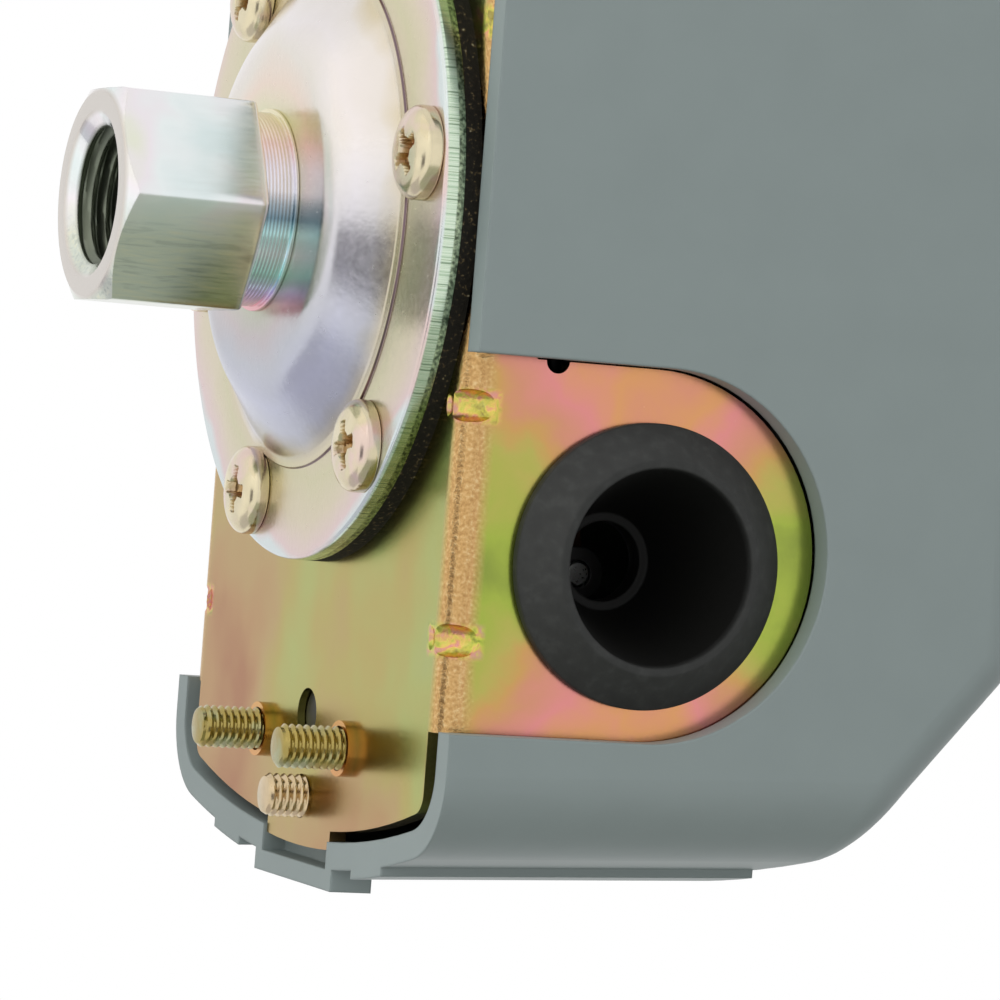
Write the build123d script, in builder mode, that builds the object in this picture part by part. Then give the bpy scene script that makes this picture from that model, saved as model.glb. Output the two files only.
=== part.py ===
from build123d import *
from math import atan2, cos, radians, sin, sqrt, tan
import os

# A diaphragm pressure switch for water and air pumps.
#
# The frame: +Z runs up through the switch, from the pressure port to the cover nut, and the
# origin is the centre of the port's mouth.  The two cable entries face +X and -X, and the
# terminals are at the -Y end.  All sizes are in millimetres.

# ---- driving dimensions --------------------------------------------------------------------

# port fitting
hex_across_flats = 19.05
hex_length = 13.3
hex_chamfer_height = 1.0
thread_radius = 6.3
thread_depth = 14.0
thread_end_taper = 1.5
mouth_radius = 8.3
mouth_depth = 1.6
passage_radius = 2.5
neck_radius = 8.9
neck_length = 3.3
neck_lip = 0.4
spigot_radius = 7.4
rivet_collar_radius = 8.6
rivet_collar_height = 1.2

# pressed pressure flange
flange_radius = 31.75
flange_sheet = 1.6
dome_height = 5.0
dome_sag = 1.1
bead_screw_gap = 4.06
bead_width = 1.0
bead_height = 0.6

# diaphragm and its follower
diaphragm_thickness = 1.5
follower_disc_gap = 1.9
follower_disc_thickness = 1.6
follower_hub_radius = 5.2
follower_crown = 0.6
follower_travel = 1.2

# flange screws
flange_screw_count = 6
flange_screw_edge = 4.39
flange_screw_turn = 49.6
screw_radius = 2.0
pan_head_radius = 4.0
pan_head_height = 3.0
pan_head_rounding = 1.7
flange_screw_point = 2.0
recess_width = 1.0
recess_span = 4.4
recess_depth = 1.6

# base plate
sheet = 1.6
base_inset = 0.05
bend_radius = 2.5
floor_terminal_end = -56.3
floor_far_end = 38.5
floor_end_curve = 100.0
floor_corner = 2.0
tab_half_width = 8.0
tab_length = 1.7
pan_height = 4.6
pan_bead_gap = 3.9
pan_slope_run = 2.8
side_flange_far = 31.0
side_flange_height = 4.0
wing_centre_y = -28.6
wing_centre_height = 18.2
wing_radius = 16.45
wing_nick_radius = 1.1
wing_nick_height = 8.5
entry_y = -29.45
entry_height = 18.25
entry_hole_radius = 11.0
dart_radius = 1.5
dart_depth = 1.05
dart_rows = (-16.6, -37.0)
peg_hole_y = -45.9
peg_hole_radius = 2.4

# screws through the terminal end of the base plate
ground_screw_x = 10.6
ground_screw_y = -48.2
ground_screw_point = 6.8
collar_radius = 2.55
collar_height = 0.9
block_screw_y = -53.5
block_screw_point = 3.7
block_screw_head_radius = 3.2
washer_radius = 4.4
washer_thickness = 0.8

# cable grommets
grommet_lip_radius = 12.6
grommet_lip_thickness = 0.9
grommet_nose = 2.6
grommet_mouth_radius = 8.75
grommet_rim = 0.7
grommet_back_lip_radius = 12.2
grommet_back_lip = 1.6
grommet_wall = 1.5
grommet_tail = 9.4
grommet_tail_radius = 4.4
cable_hole_radius = 3.6
cable_hole_length = 2.2

# lever and its pivot
lever_sheet = 1.6
lever_lift = 0.2
lever_half_width = 15.2
lever_flange_height = 4.5
lever_front = -27.0
lever_front_half_width = 7.0
lever_shoulder_y = -19.5
lever_shoulder_run = 3.0
lever_back = 25.5
pivot_y = 29.0
pivot_height = 10.5
pivot_pin_radius = 1.5
pivot_ear_radius = 4.0
bracket_sheet = 1.6
bracket_front = 28.2
bracket_back = 33.2
pin_overhang = 2.2
clip_radius = 3.0
clip_thickness = 0.6

# range spring group
range_y = -11.0
range_stud_radius = 3.0
stud_head_radius = 4.5
stud_head_height = 1.3
range_spring_radius = 6.6
range_wire = 1.8
range_spring_length = 27.0
range_spring_turns = 7
seat_rim_height = 2.0
seat_thickness = 1.4
seat_rim_wall = 1.2
range_nut_across_flats = 10.0
range_nut_height = 5.0
nut_corner_turn = 0.6

# differential spring group
differential_x = 8.6
differential_y = 8.2
differential_stud_radius = 2.0
differential_spring_radius = 3.6
differential_wire = 1.1
differential_spring_length = 15.0
differential_spring_turns = 7
differential_nut_across_flats = 7.0
differential_nut_height = 3.2
differential_stud_spare = 6.0

# terminal block and contacts
terminal_pitch = 13.0
terminal_screw_y = -48.0
deck_half_width = 26.6
deck_front = -52.4
deck_back = -43.6
deck_bottom = 15.2
deck_top = 25.3
deck_corner = 4.0
barrier_height = 5.0
barrier_width = 1.6
foot_half_width = 5.6
foot_front = -56.0
foot_height = 3.0
foot_shelf_half_width = 12.6
foot_back = -28.6
cheek_width = 2.0
cheek_length = 5.0
terminal_plate_width = 9.0
terminal_plate_thickness = 1.2
terminal_plate_reach = 6.2
clamp_size = 8.6
clamp_thickness = 1.3
binding_head_radius = 4.1
binding_head_height = 2.6
terminal_screw_depth = 7.0
contact_radius = 2.0
fixed_contact_height = 1.1
moving_contact_height = 0.9
contact_gap = 0.1
bridge_width = 5.0
bridge_thickness = 1.0
bridge_overhang = 2.6

# contact arm
arm_pivot_y = -31.0
arm_pivot_height = 19.0
arm_pin_radius = 1.2
arm_hub_radius = 2.6
arm_half_width = 8.0
arm_head_half_width = 22.4
arm_head_height = 3.2
arm_head_length = 5.4
arm_tail = 8.8
arm_tail_height = 2.6
snap_spring_y = -23.4
snap_spring_radius = 2.2
snap_wire = 0.7
snap_spring_turns = 4

# cover
rim_setback = 0.3
cover_terminal_end = -59.7
cover_far_end = 42.0
cover_end_curve = 120.0
cover_corner = 8.0
cover_wall = 2.5
cover_side_gap = 0.5
cover_height = 56.0
cover_side_draft = 0.5
cover_end_draft = 1.75
shoulder_slope = 41.2
shoulder_start = 36.3
shoulder_rounding = 4.0
rib_inner_x = 14.5
rib_outer_x = 21.5
rib_proud = 0.8
rib_height = 36.6
rib_root_depth = 6.0
pocket_half_width = 8.2
pocket_depth = 1.4
pocket_clearance = 0.5
pocket_wall = 1.9
pocket_side_wall = 1.6
pocket_block_height = 4.0
notch_y = -28.43
notch_radius = 16.42
notch_centre_height = 18.4
stud_hole_radius = 3.6
cover_nut_across_flats = 10.0
cover_nut_hex_height = 3.6
cover_nut_dome = 3.2
cover_nut_dome_inset = 0.4
cover_nut_flange_radius = 6.6
cover_nut_flange = 0.9

# how far a face's normal may be from the shoulder's and still be counted as one
face_angle_slack = 0.01

# clearances
running_clearance = 0.06
hole_clearance = 0.2
seat_clearance = 0.3
fastener_clearance = 0.05
lever_hole_clearance = 1.1
spring_end_clearance = 0.1

# ---- heights and places worked out from them -----------------------------------------------

flange_screw_circle_radius = flange_radius - flange_screw_edge
bead_radius = flange_screw_circle_radius - bead_screw_gap
pan_roof_radius = bead_radius - pan_bead_gap
follower_disc_radius = pan_roof_radius - follower_disc_gap
base_half_width = flange_radius - base_inset
cover_half_width = base_half_width + cover_side_gap + cover_wall
flange_bottom = hex_length + neck_length + dome_height
diaphragm_bottom = flange_bottom + flange_sheet
plate_bottom = diaphragm_bottom + diaphragm_thickness
plate_top = plate_bottom + sheet
rim_z = plate_bottom - rim_setback
wing_centre_z = plate_bottom + wing_centre_height
entry_z = plate_bottom + entry_height
wing_inner_x = base_half_width - sheet
floor_half_width = base_half_width - bend_radius

pan_roof_bottom = plate_bottom + pan_height
pan_roof_top = pan_roof_bottom + sheet
lever_bottom = pan_roof_top + follower_travel + follower_crown
lever_top = lever_bottom + lever_sheet
pivot_z = plate_top + pivot_height
lever_hole_radius = range_stud_radius + lever_hole_clearance
differential_lever_hole = differential_stud_radius + lever_hole_clearance

range_seat_z = lever_top + range_spring_length
range_nut_z = range_seat_z + seat_thickness
cover_top = rim_z + cover_height
cover_nut_hex_z = cover_top + cover_nut_flange
range_stud_top = cover_nut_hex_z + cover_nut_hex_height
differential_seat_z = lever_top + differential_spring_length
differential_nut_z = differential_seat_z + seat_thickness
differential_stud_top = differential_nut_z + differential_nut_height + differential_stud_spare

deck_bottom_z = plate_top + deck_bottom
deck_top_z = plate_top + deck_top
arm_pivot_z = plate_top + arm_pivot_height
terminal_xs = [terminal_pitch * (i - 1.5) for i in range(4)]
bridge_xs = [-terminal_pitch, terminal_pitch]
contact_y = deck_back + terminal_plate_reach - contact_radius
fixed_contact_bottom = deck_top_z - fixed_contact_height
moving_contact_top = fixed_contact_bottom - contact_gap
bridge_top = moving_contact_top - moving_contact_height
bridge_bottom = bridge_top - bridge_thickness
flange_screw_places = PolarLocations(
    flange_screw_circle_radius, flange_screw_count, start_angle=flange_screw_turn
)

os.makedirs("parts", exist_ok=True)


def save(builder, name):
    """Labels a finished piece and writes it as its own STEP file."""
    builder.part.label = name
    export_step(builder.part, f"parts/{name}.step")


def end_arc_y(x, end, curve, side):
    """Y of a shallow end arc at x; side is -1 at the terminal end and +1 at the far end."""
    return end - side * (curve - sqrt(curve**2 - x**2))


# ---- port fitting --------------------------------------------------------------------------
# Hexagon bar turned down to a neck, and riveted over inside the flange's centre hole.

with BuildPart() as port_fitting:
    with BuildSketch(Plane.XY):
        RegularPolygon(radius=hex_across_flats / 2, side_count=6, major_radius=False)
    extrude(amount=hex_length)
    # the front corners are turned away by a cone whose small end is as wide as the flats
    corner_radius = hex_across_flats / sqrt(3)
    with BuildSketch(Plane.XZ):
        with BuildLine():
            Polyline(
                (0, 0),
                (hex_across_flats / 2, 0),
                (corner_radius, hex_chamfer_height),
                (corner_radius, hex_length),
                (0, hex_length),
                close=True,
            )
        make_face()
    revolve(axis=Axis.Z, mode=Mode.INTERSECT)
    dome_top_inside = hex_length + neck_length + flange_sheet
    with BuildSketch(Plane.XZ):
        with BuildLine():
            Polyline(
                (0, hex_length),
                (neck_radius, hex_length),
                (neck_radius, hex_length + neck_length - neck_lip),
                (neck_radius + neck_lip, hex_length + neck_length - neck_lip),
                (neck_radius + neck_lip, hex_length + neck_length),
                (spigot_radius, hex_length + neck_length),
                (spigot_radius, dome_top_inside),
                (rivet_collar_radius, dome_top_inside),
                (spigot_radius, dome_top_inside + rivet_collar_height),
                (0, dome_top_inside + rivet_collar_height),
                close=True,
            )
        make_face()
    revolve(axis=Axis.Z)
    # threaded port with its lead-in, and the small passage into the chamber
    with BuildSketch(Plane.XZ):
        with BuildLine():
            Polyline(
                (0, 0),
                (mouth_radius, 0),
                (thread_radius, mouth_depth),
                (thread_radius, thread_depth),
                (passage_radius, thread_depth + thread_end_taper),
                (passage_radius, dome_top_inside + rivet_collar_height),
                (0, dome_top_inside + rivet_collar_height),
                close=True,
            )
        make_face()
    revolve(axis=Axis.Z, mode=Mode.SUBTRACT)
save(port_fitting, "port_fitting")

# ---- pressure flange -----------------------------------------------------------------------
# A pressed disc: flat rim, a small bead, then a trumpet-shaped dome up to the neck.

with BuildPart() as pressure_flange:
    dome_start = bead_radius - bead_width
    dome_end = neck_radius + neck_lip
    dome_low = flange_bottom - dome_height
    bead_level = flange_bottom - bead_height
    chord = atan2(bead_level - dome_low, dome_start - dome_end)
    dome_middle_r = (dome_start + dome_end) / 2 - dome_sag * sin(chord)
    dome_middle_z = (bead_level + dome_low) / 2 + dome_sag * cos(chord)
    with BuildSketch(Plane.XZ):
        with BuildLine():
            Polyline(
                (spigot_radius, dome_low + flange_sheet),
                (spigot_radius, dome_low),
                (dome_end, dome_low),
            )
            ThreePointArc(
                (dome_end, dome_low),
                (dome_middle_r, dome_middle_z),
                (dome_start, bead_level),
            )
            Polyline(
                (dome_start, bead_level),
                (bead_radius, flange_bottom),
                (flange_radius, flange_bottom),
                (flange_radius, diaphragm_bottom),
                (bead_radius, diaphragm_bottom),
                (dome_start, bead_level + flange_sheet),
            )
            ThreePointArc(
                (dome_start, bead_level + flange_sheet),
                (dome_middle_r, dome_middle_z + flange_sheet),
                (dome_end, dome_low + flange_sheet),
            )
            Line((dome_end, dome_low + flange_sheet), (spigot_radius, dome_low + flange_sheet))
        make_face()
    revolve(axis=Axis.Z)
    with BuildSketch(Plane.XY.offset(flange_bottom)):
        with flange_screw_places:
            Circle(screw_radius + hole_clearance)
    extrude(amount=flange_sheet, mode=Mode.SUBTRACT)
save(pressure_flange, "pressure_flange")

# ---- diaphragm -----------------------------------------------------------------------------

with BuildPart() as diaphragm:
    with BuildSketch(Plane.XY.offset(diaphragm_bottom)):
        Circle(flange_radius)
        with flange_screw_places:
            Circle(screw_radius + hole_clearance, mode=Mode.SUBTRACT)
    extrude(amount=diaphragm_thickness)
save(diaphragm, "diaphragm")


# ---- screws --------------------------------------------------------------------------------


def screw(radius, bottom, top, head_radius, head_height, head_rounding, down):
    """A round-headed screw on the Z axis: shank from bottom to top, head below when down."""
    with BuildPart() as made:
        with BuildSketch(Plane.XY.offset(bottom)):
            Circle(radius)
        extrude(amount=top - bottom)
        point = made.faces().sort_by(Axis.Z)[-1 if down else 0]
        chamfer(point.edges(), length=radius / 5)
        with BuildPart(mode=Mode.PRIVATE) as head:
            seat = Plane.XY.offset(bottom) if down else Plane.XY.offset(top)
            with BuildSketch(seat):
                Circle(head_radius)
            extrude(amount=-head_height if down else head_height)
            crown = head.faces().sort_by(Axis.Z)[0 if down else -1]
            fillet(crown.edges(), radius=head_rounding)
            crown_z = bottom - head_height if down else top + head_height
            with BuildSketch(Plane.XY.offset(crown_z)):
                Rectangle(recess_span, recess_width)
                Rectangle(recess_width, recess_span)
            extrude(amount=recess_depth if down else -recess_depth, mode=Mode.SUBTRACT)
        add(head.part)
    return made.part


flange_screw = screw(
    screw_radius,
    flange_bottom,
    plate_top + flange_screw_point,
    pan_head_radius,
    pan_head_height,
    pan_head_rounding,
    down=True,
)
with BuildPart() as flange_screws:
    with flange_screw_places:
        add(flange_screw)
save(flange_screws, "flange_screws")

ground_screw = screw(
    screw_radius,
    plate_bottom - ground_screw_point,
    plate_top + washer_thickness,
    pan_head_radius,
    pan_head_height,
    pan_head_rounding,
    down=False,
)
with BuildPart() as ground_screws:
    with Locations((-ground_screw_x, ground_screw_y), (ground_screw_x, ground_screw_y)):
        add(ground_screw)
save(ground_screws, "ground_screws")

with BuildPart() as ground_washers:
    with BuildSketch(Plane.XY.offset(plate_top)):
        with Locations((-ground_screw_x, ground_screw_y), (ground_screw_x, ground_screw_y)):
            Circle(washer_radius)
            Circle(screw_radius + hole_clearance, mode=Mode.SUBTRACT)
    extrude(amount=washer_thickness)
save(ground_washers, "ground_washers")

foot_top = plate_top + foot_height
block_screw_part = screw(
    screw_radius,
    plate_bottom - block_screw_point,
    foot_top,
    block_screw_head_radius,
    pan_head_height,
    pan_head_rounding,
    down=False,
)
with BuildPart() as block_screw:
    with Locations((0, block_screw_y)):
        add(block_screw_part)
save(block_screw, "block_screw")

# ---- base plate ----------------------------------------------------------------------------
# One sheet-steel pressing: a floor with a raised pan, sides bent up with a conduit wing each,
# a locating tab at the terminal end and drawn collars for the ground screws.

with BuildPart() as base_plate:
    with BuildSketch(Plane.XY.offset(plate_bottom)) as floor:
        terminal_corner = end_arc_y(floor_half_width, floor_terminal_end, floor_end_curve, -1)
        far_corner = end_arc_y(floor_half_width, floor_far_end, floor_end_curve, 1)
        with BuildLine():
            ThreePointArc(
                (-floor_half_width, terminal_corner),
                (0, floor_terminal_end),
                (floor_half_width, terminal_corner),
            )
            Line((floor_half_width, terminal_corner), (floor_half_width, far_corner))
            ThreePointArc(
                (floor_half_width, far_corner),
                (0, floor_far_end),
                (-floor_half_width, far_corner),
            )
            Line((-floor_half_width, far_corner), (-floor_half_width, terminal_corner))
        make_face()
        fillet(floor.vertices(), radius=floor_corner)
        # the tab keeps the same curve as the end it stands on
        with BuildSketch(Plane.XY.offset(plate_bottom), mode=Mode.PRIVATE) as tab:
            with Locations((0, floor_terminal_end - tab_length + floor_end_curve)):
                Circle(floor_end_curve)
            with Locations((0, floor_terminal_end)):
                Rectangle(2 * tab_half_width, 4 * tab_length, mode=Mode.INTERSECT)
        add(tab.sketch)
    extrude(amount=sheet)

    # the side that is bent up: bend, low flange and conduit wing
    side_start = wing_centre_y - wing_radius
    bend_z = plate_bottom + bend_radius
    with BuildSketch(Plane.XZ.offset(-side_flange_far)):
        with BuildLine():
            CenterArc((floor_half_width, bend_z), bend_radius, -90, 90)
            Line((base_half_width, bend_z), (wing_inner_x, bend_z))
            CenterArc((floor_half_width, bend_z), bend_radius - sheet, 0, -90)
            Line((floor_half_width, plate_top), (floor_half_width, plate_bottom))
        make_face()
    extrude(amount=side_flange_far - side_start)
    with BuildSketch(Plane.YZ.offset(wing_inner_x)):
        wing_end = wing_centre_y + wing_radius
        with BuildLine():
            Line((wing_end, bend_z), (wing_end, wing_centre_z))
            CenterArc((wing_centre_y, wing_centre_z), wing_radius, 0, 180)
            Polyline((side_start, wing_centre_z), (side_start, bend_z), (wing_end, bend_z))
        make_face()
        with Locations((side_start, bend_z)):
            Rectangle(
                side_flange_far - side_start, side_flange_height, align=(Align.MIN, Align.MIN)
            )
        with Locations((wing_end, plate_bottom + wing_nick_height)):
            Circle(wing_nick_radius, mode=Mode.SUBTRACT)
        with Locations((entry_y, entry_z)):
            Circle(entry_hole_radius, mode=Mode.SUBTRACT)
    extrude(amount=sheet)

    # two darts pressed into the bend stiffen the wing: a rib inside, a groove outside
    arc_middle = bend_radius * sin(radians(45))
    dart_x = floor_half_width + arc_middle
    dart_z = bend_z - arc_middle
    inward = (dart_radius - dart_depth) * sin(radians(45))
    for dart_y in dart_rows:
        with Locations((floor_half_width, dart_y, bend_z)):
            Cylinder(dart_radius, 2 * bend_radius, rotation=(0, 45, 0))
        with BuildSketch(Plane.YZ.offset(base_half_width), mode=Mode.PRIVATE) as outside:
            with Locations((dart_y, bend_z)):
                Rectangle(4 * dart_radius, 4 * bend_radius)
        extrude(outside.sketch, amount=2 * bend_radius, mode=Mode.SUBTRACT)
        with Locations((dart_x + inward, dart_y, dart_z - inward)):
            Cylinder(dart_radius, 6 * bend_radius, rotation=(0, 45, 0), mode=Mode.SUBTRACT)

    mirror(about=Plane.YZ)

    # the raised pan that gives the follower its room
    with BuildSketch(Plane.XY.offset(plate_bottom)):
        Circle(pan_roof_radius + pan_slope_run)
    extrude(amount=sheet, mode=Mode.SUBTRACT)
    pan_foot = pan_roof_radius + pan_slope_run
    with BuildSketch(Plane.XZ):
        with BuildLine():
            Polyline(
                (follower_hub_radius + running_clearance, pan_roof_bottom),
                (pan_roof_radius - sheet / 2, pan_roof_bottom),
                (pan_foot - sheet / 2, plate_bottom),
                (pan_foot + sheet, plate_bottom),
                (pan_foot + sheet, plate_top),
                (pan_foot + sheet / 2, plate_top),
                (pan_roof_radius + sheet / 2, pan_roof_top),
                (follower_hub_radius + running_clearance, pan_roof_top),
                close=True,
            )
        make_face()
    revolve(axis=Axis.Z)

    # drawn collars below the floor, then every hole
    with BuildSketch(Plane.XY.offset(plate_bottom)):
        with Locations((-ground_screw_x, ground_screw_y), (ground_screw_x, ground_screw_y)):
            Circle(collar_radius)
    extrude(amount=-collar_height)
    with BuildSketch(Plane.XY.offset(plate_bottom - collar_height)):
        with flange_screw_places:
            Circle(screw_radius + fastener_clearance)
        with Locations(
            (-ground_screw_x, ground_screw_y),
            (ground_screw_x, ground_screw_y),
            (0, block_screw_y),
        ):
            Circle(screw_radius + fastener_clearance)
        with Locations((0, peg_hole_y)):
            Circle(peg_hole_radius)
        with Locations((0, range_y)):
            Circle(range_stud_radius + fastener_clearance)
        with Locations((differential_x, differential_y)):
            Circle(differential_stud_radius + fastener_clearance)
    extrude(amount=collar_height + pan_height + 2 * sheet, mode=Mode.SUBTRACT)
save(base_plate, "base_plate")

# ---- follower ------------------------------------------------------------------------------
# The plate that rides on the diaphragm; its hub runs through the pan and lifts the lever.

with BuildPart() as follower:
    hub_top = lever_bottom - lever_lift
    crown_radius = (follower_hub_radius**2 + follower_crown**2) / (2 * follower_crown)
    with BuildSketch(Plane.XZ) as follower_section:
        with BuildLine():
            Polyline(
                (-follower_hub_radius, hub_top - follower_crown),
                (-follower_hub_radius, plate_bottom + follower_disc_thickness),
                (-follower_disc_radius, plate_bottom + follower_disc_thickness),
                (-follower_disc_radius, plate_bottom),
                (follower_disc_radius, plate_bottom),
                (follower_disc_radius, plate_bottom + follower_disc_thickness),
                (follower_hub_radius, plate_bottom + follower_disc_thickness),
                (follower_hub_radius, hub_top - follower_crown),
            )
            RadiusArc(
                (follower_hub_radius, hub_top - follower_crown),
                (-follower_hub_radius, hub_top - follower_crown),
                -crown_radius,
            )
        make_face()
        split(bisect_by=Plane.YZ)
    revolve(axis=Axis.Z)
save(follower, "follower")


# ---- lever, its bracket and pivot ----------------------------------------------------------

with BuildPart() as pivot_bracket:
    bracket_outer = lever_half_width + seat_clearance + bracket_sheet
    with BuildSketch(Plane.XY.offset(plate_top)):
        with Locations((0, bracket_front)):
            Rectangle(2 * bracket_outer, bracket_back - bracket_front, align=(Align.CENTER, Align.MIN))
    extrude(amount=bracket_sheet)
    with BuildSketch(Plane.YZ.offset(bracket_outer - bracket_sheet)):
        with Locations((pivot_y, pivot_z)):
            Circle(pivot_ear_radius)
        with BuildLine():
            Polyline(
                (pivot_y - pivot_ear_radius, pivot_z),
                (bracket_front, plate_top),
                (bracket_back, plate_top),
                (pivot_y + pivot_ear_radius, pivot_z),
                close=True,
            )
        make_face()
        with Locations((pivot_y, pivot_z)):
            Circle(pivot_pin_radius + running_clearance, mode=Mode.SUBTRACT)
    extrude(amount=bracket_sheet)
    mirror(about=Plane.YZ)
save(pivot_bracket, "pivot_bracket")

with BuildPart() as pivot_pin:
    pin_half_length = bracket_outer + pin_overhang
    with BuildSketch(Plane.YZ.offset(-pin_half_length)):
        with Locations((pivot_y, pivot_z)):
            Circle(pivot_pin_radius)
    extrude(amount=2 * pin_half_length)
    chamfer(pivot_pin.edges(), length=pivot_pin_radius / 5)
save(pivot_pin, "pivot_pin")

with BuildPart() as pin_clips:
    with BuildSketch(Plane.YZ.offset(bracket_outer + seat_clearance)):
        with Locations((pivot_y, pivot_z)):
            Circle(clip_radius)
            Circle(pivot_pin_radius + fastener_clearance, mode=Mode.SUBTRACT)
        with Locations((pivot_y, pivot_z - clip_radius)):
            Rectangle(pivot_pin_radius, 2 * clip_radius, mode=Mode.SUBTRACT)
    extrude(amount=clip_thickness)
    mirror(about=Plane.YZ)
save(pin_clips, "pin_clips")

with BuildPart() as lever:
    with BuildSketch(Plane.XY.offset(lever_bottom)) as lever_plan:
        with BuildLine():
            Polyline(
                (-lever_half_width, lever_back),
                (-lever_half_width, lever_shoulder_y),
                (-lever_front_half_width, lever_shoulder_y - lever_shoulder_run),
                (-lever_front_half_width, lever_front),
                (lever_front_half_width, lever_front),
                (lever_front_half_width, lever_shoulder_y - lever_shoulder_run),
                (lever_half_width, lever_shoulder_y),
                (lever_half_width, lever_back),
                close=True,
            )
        make_face()
        with Locations((0, range_y)):
            Circle(lever_hole_radius, mode=Mode.SUBTRACT)
    extrude(amount=lever_sheet)
    # the sides are bent up and run back to the pivot as two ears
    with BuildSketch(Plane.YZ.offset(lever_half_width - lever_sheet)):
        flange_top = lever_top + lever_flange_height
        with BuildLine():
            Polyline(
                (lever_shoulder_y, lever_bottom),
                (lever_shoulder_y, lever_top),
                (lever_shoulder_y + lever_flange_height, flange_top),
                (lever_back, flange_top),
                (pivot_y, pivot_z + pivot_ear_radius - lever_sheet),
                (pivot_y, pivot_z - pivot_ear_radius + lever_sheet),
                (lever_back, lever_bottom),
                close=True,
            )
        make_face()
        with Locations((pivot_y, pivot_z)):
            Circle(pivot_ear_radius - lever_sheet / 2)
            Circle(pivot_pin_radius + running_clearance, mode=Mode.SUBTRACT)
    extrude(amount=lever_sheet)
    mirror(about=Plane.YZ)
    with BuildSketch(Plane.XY.offset(lever_bottom)):
        with Locations((differential_x, differential_y)):
            Circle(differential_lever_hole)
    extrude(amount=lever_sheet, mode=Mode.SUBTRACT)
save(lever, "lever")


# ---- spring groups -------------------------------------------------------------------------


def coil_spring(x, y, bottom, length, radius, wire, turns):
    """A compression spring that stands at x, y, a small clearance short of its two seats."""
    rise = length - wire - 2 * spring_end_clearance
    with BuildPart() as made:
        with BuildLine():
            path = Helix(
                pitch=rise / turns,
                height=rise,
                radius=radius,
                center=(x, y, bottom + wire / 2 + spring_end_clearance),
            )
        with BuildSketch(Plane(origin=path @ 0, z_dir=path % 0)):
            Circle(wire / 2)
        sweep(path=path, is_frenet=True)
    return made


def headed_stud(x, y, radius, head_radius, top):
    """A stud that hangs by its head below the pan's roof and stands up to top."""
    with BuildPart() as made:
        with BuildSketch(Plane.XY.offset(pan_roof_bottom - stud_head_height)):
            with Locations((x, y)):
                Circle(head_radius)
        extrude(amount=stud_head_height)
        with BuildSketch(Plane.XY.offset(pan_roof_bottom)):
            with Locations((x, y)):
                Circle(radius)
        extrude(amount=top - pan_roof_bottom)
        chamfer(made.faces().sort_by(Axis.Z)[-1].edges(), length=radius / 4)
    return made


def spring_seat(x, y, bottom, spring_radius, wire, bore):
    """A cupped washer on top of a spring, with a rim down around the last coil."""
    rim_inside = spring_radius + wire / 2 + hole_clearance
    with BuildPart() as made:
        with BuildSketch(Plane.XY.offset(bottom)):
            with Locations((x, y)):
                Circle(rim_inside + seat_rim_wall)
                Circle(bore, mode=Mode.SUBTRACT)
        extrude(amount=seat_thickness)
        with BuildSketch(Plane.XY.offset(bottom)):
            with Locations((x, y)):
                Circle(rim_inside + seat_rim_wall)
                Circle(rim_inside, mode=Mode.SUBTRACT)
        extrude(amount=-seat_rim_height)
    return made


def hexagon_nut(x, y, bottom, across_flats, height, bore):
    """A hexagon nut with its upper corners turned away."""
    corner = across_flats / sqrt(3)
    with BuildPart() as made:
        with BuildSketch(Plane.XY.offset(bottom)):
            with Locations((x, y)):
                RegularPolygon(radius=across_flats / 2, side_count=6, major_radius=False)
        extrude(amount=height)
        with BuildPart(mode=Mode.PRIVATE) as turned:
            with BuildSketch(Plane.XY.offset(bottom)):
                with Locations((x, y)):
                    Circle(corner)
            extrude(amount=height)
            chamfer(
                turned.faces().sort_by(Axis.Z)[-1].edges(),
                length=(corner - across_flats / 2) * nut_corner_turn,
                length2=corner - across_flats / 2,
            )
        add(turned.part, mode=Mode.INTERSECT)
        with BuildSketch(Plane.XY.offset(bottom)):
            with Locations((x, y)):
                Circle(bore)
        extrude(amount=height, mode=Mode.SUBTRACT)
    return made


range_stud = headed_stud(0, range_y, range_stud_radius, stud_head_radius, range_stud_top)
save(range_stud, "range_stud")

range_spring = coil_spring(
    0, range_y, lever_top, range_spring_length, range_spring_radius, range_wire, range_spring_turns
)
save(range_spring, "range_spring")

range_seat = spring_seat(
    0,
    range_y,
    range_seat_z,
    range_spring_radius,
    range_wire,
    range_stud_radius + running_clearance,
)
save(range_seat, "range_seat")

range_nut = hexagon_nut(
    0,
    range_y,
    range_nut_z,
    range_nut_across_flats,
    range_nut_height,
    range_stud_radius + running_clearance,
)
save(range_nut, "range_nut")

differential_stud = headed_stud(
    differential_x,
    differential_y,
    differential_stud_radius,
    differential_stud_radius + (stud_head_radius - range_stud_radius),
    differential_stud_top,
)
save(differential_stud, "differential_stud")

differential_spring = coil_spring(
    differential_x,
    differential_y,
    lever_top,
    differential_spring_length,
    differential_spring_radius,
    differential_wire,
    differential_spring_turns,
)
save(differential_spring, "differential_spring")

differential_seat = spring_seat(
    differential_x,
    differential_y,
    differential_seat_z,
    differential_spring_radius,
    differential_wire,
    differential_stud_radius + running_clearance,
)
save(differential_seat, "differential_seat")

differential_nut = hexagon_nut(
    differential_x,
    differential_y,
    differential_nut_z,
    differential_nut_across_flats,
    differential_nut_height,
    differential_stud_radius + running_clearance,
)
save(differential_nut, "differential_nut")

# ---- terminal block ------------------------------------------------------------------------
# A moulded block: a foot screwed to the floor, a web, the terminal deck with its barriers,
# and two cheeks that carry the contact arm's pin.

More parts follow.
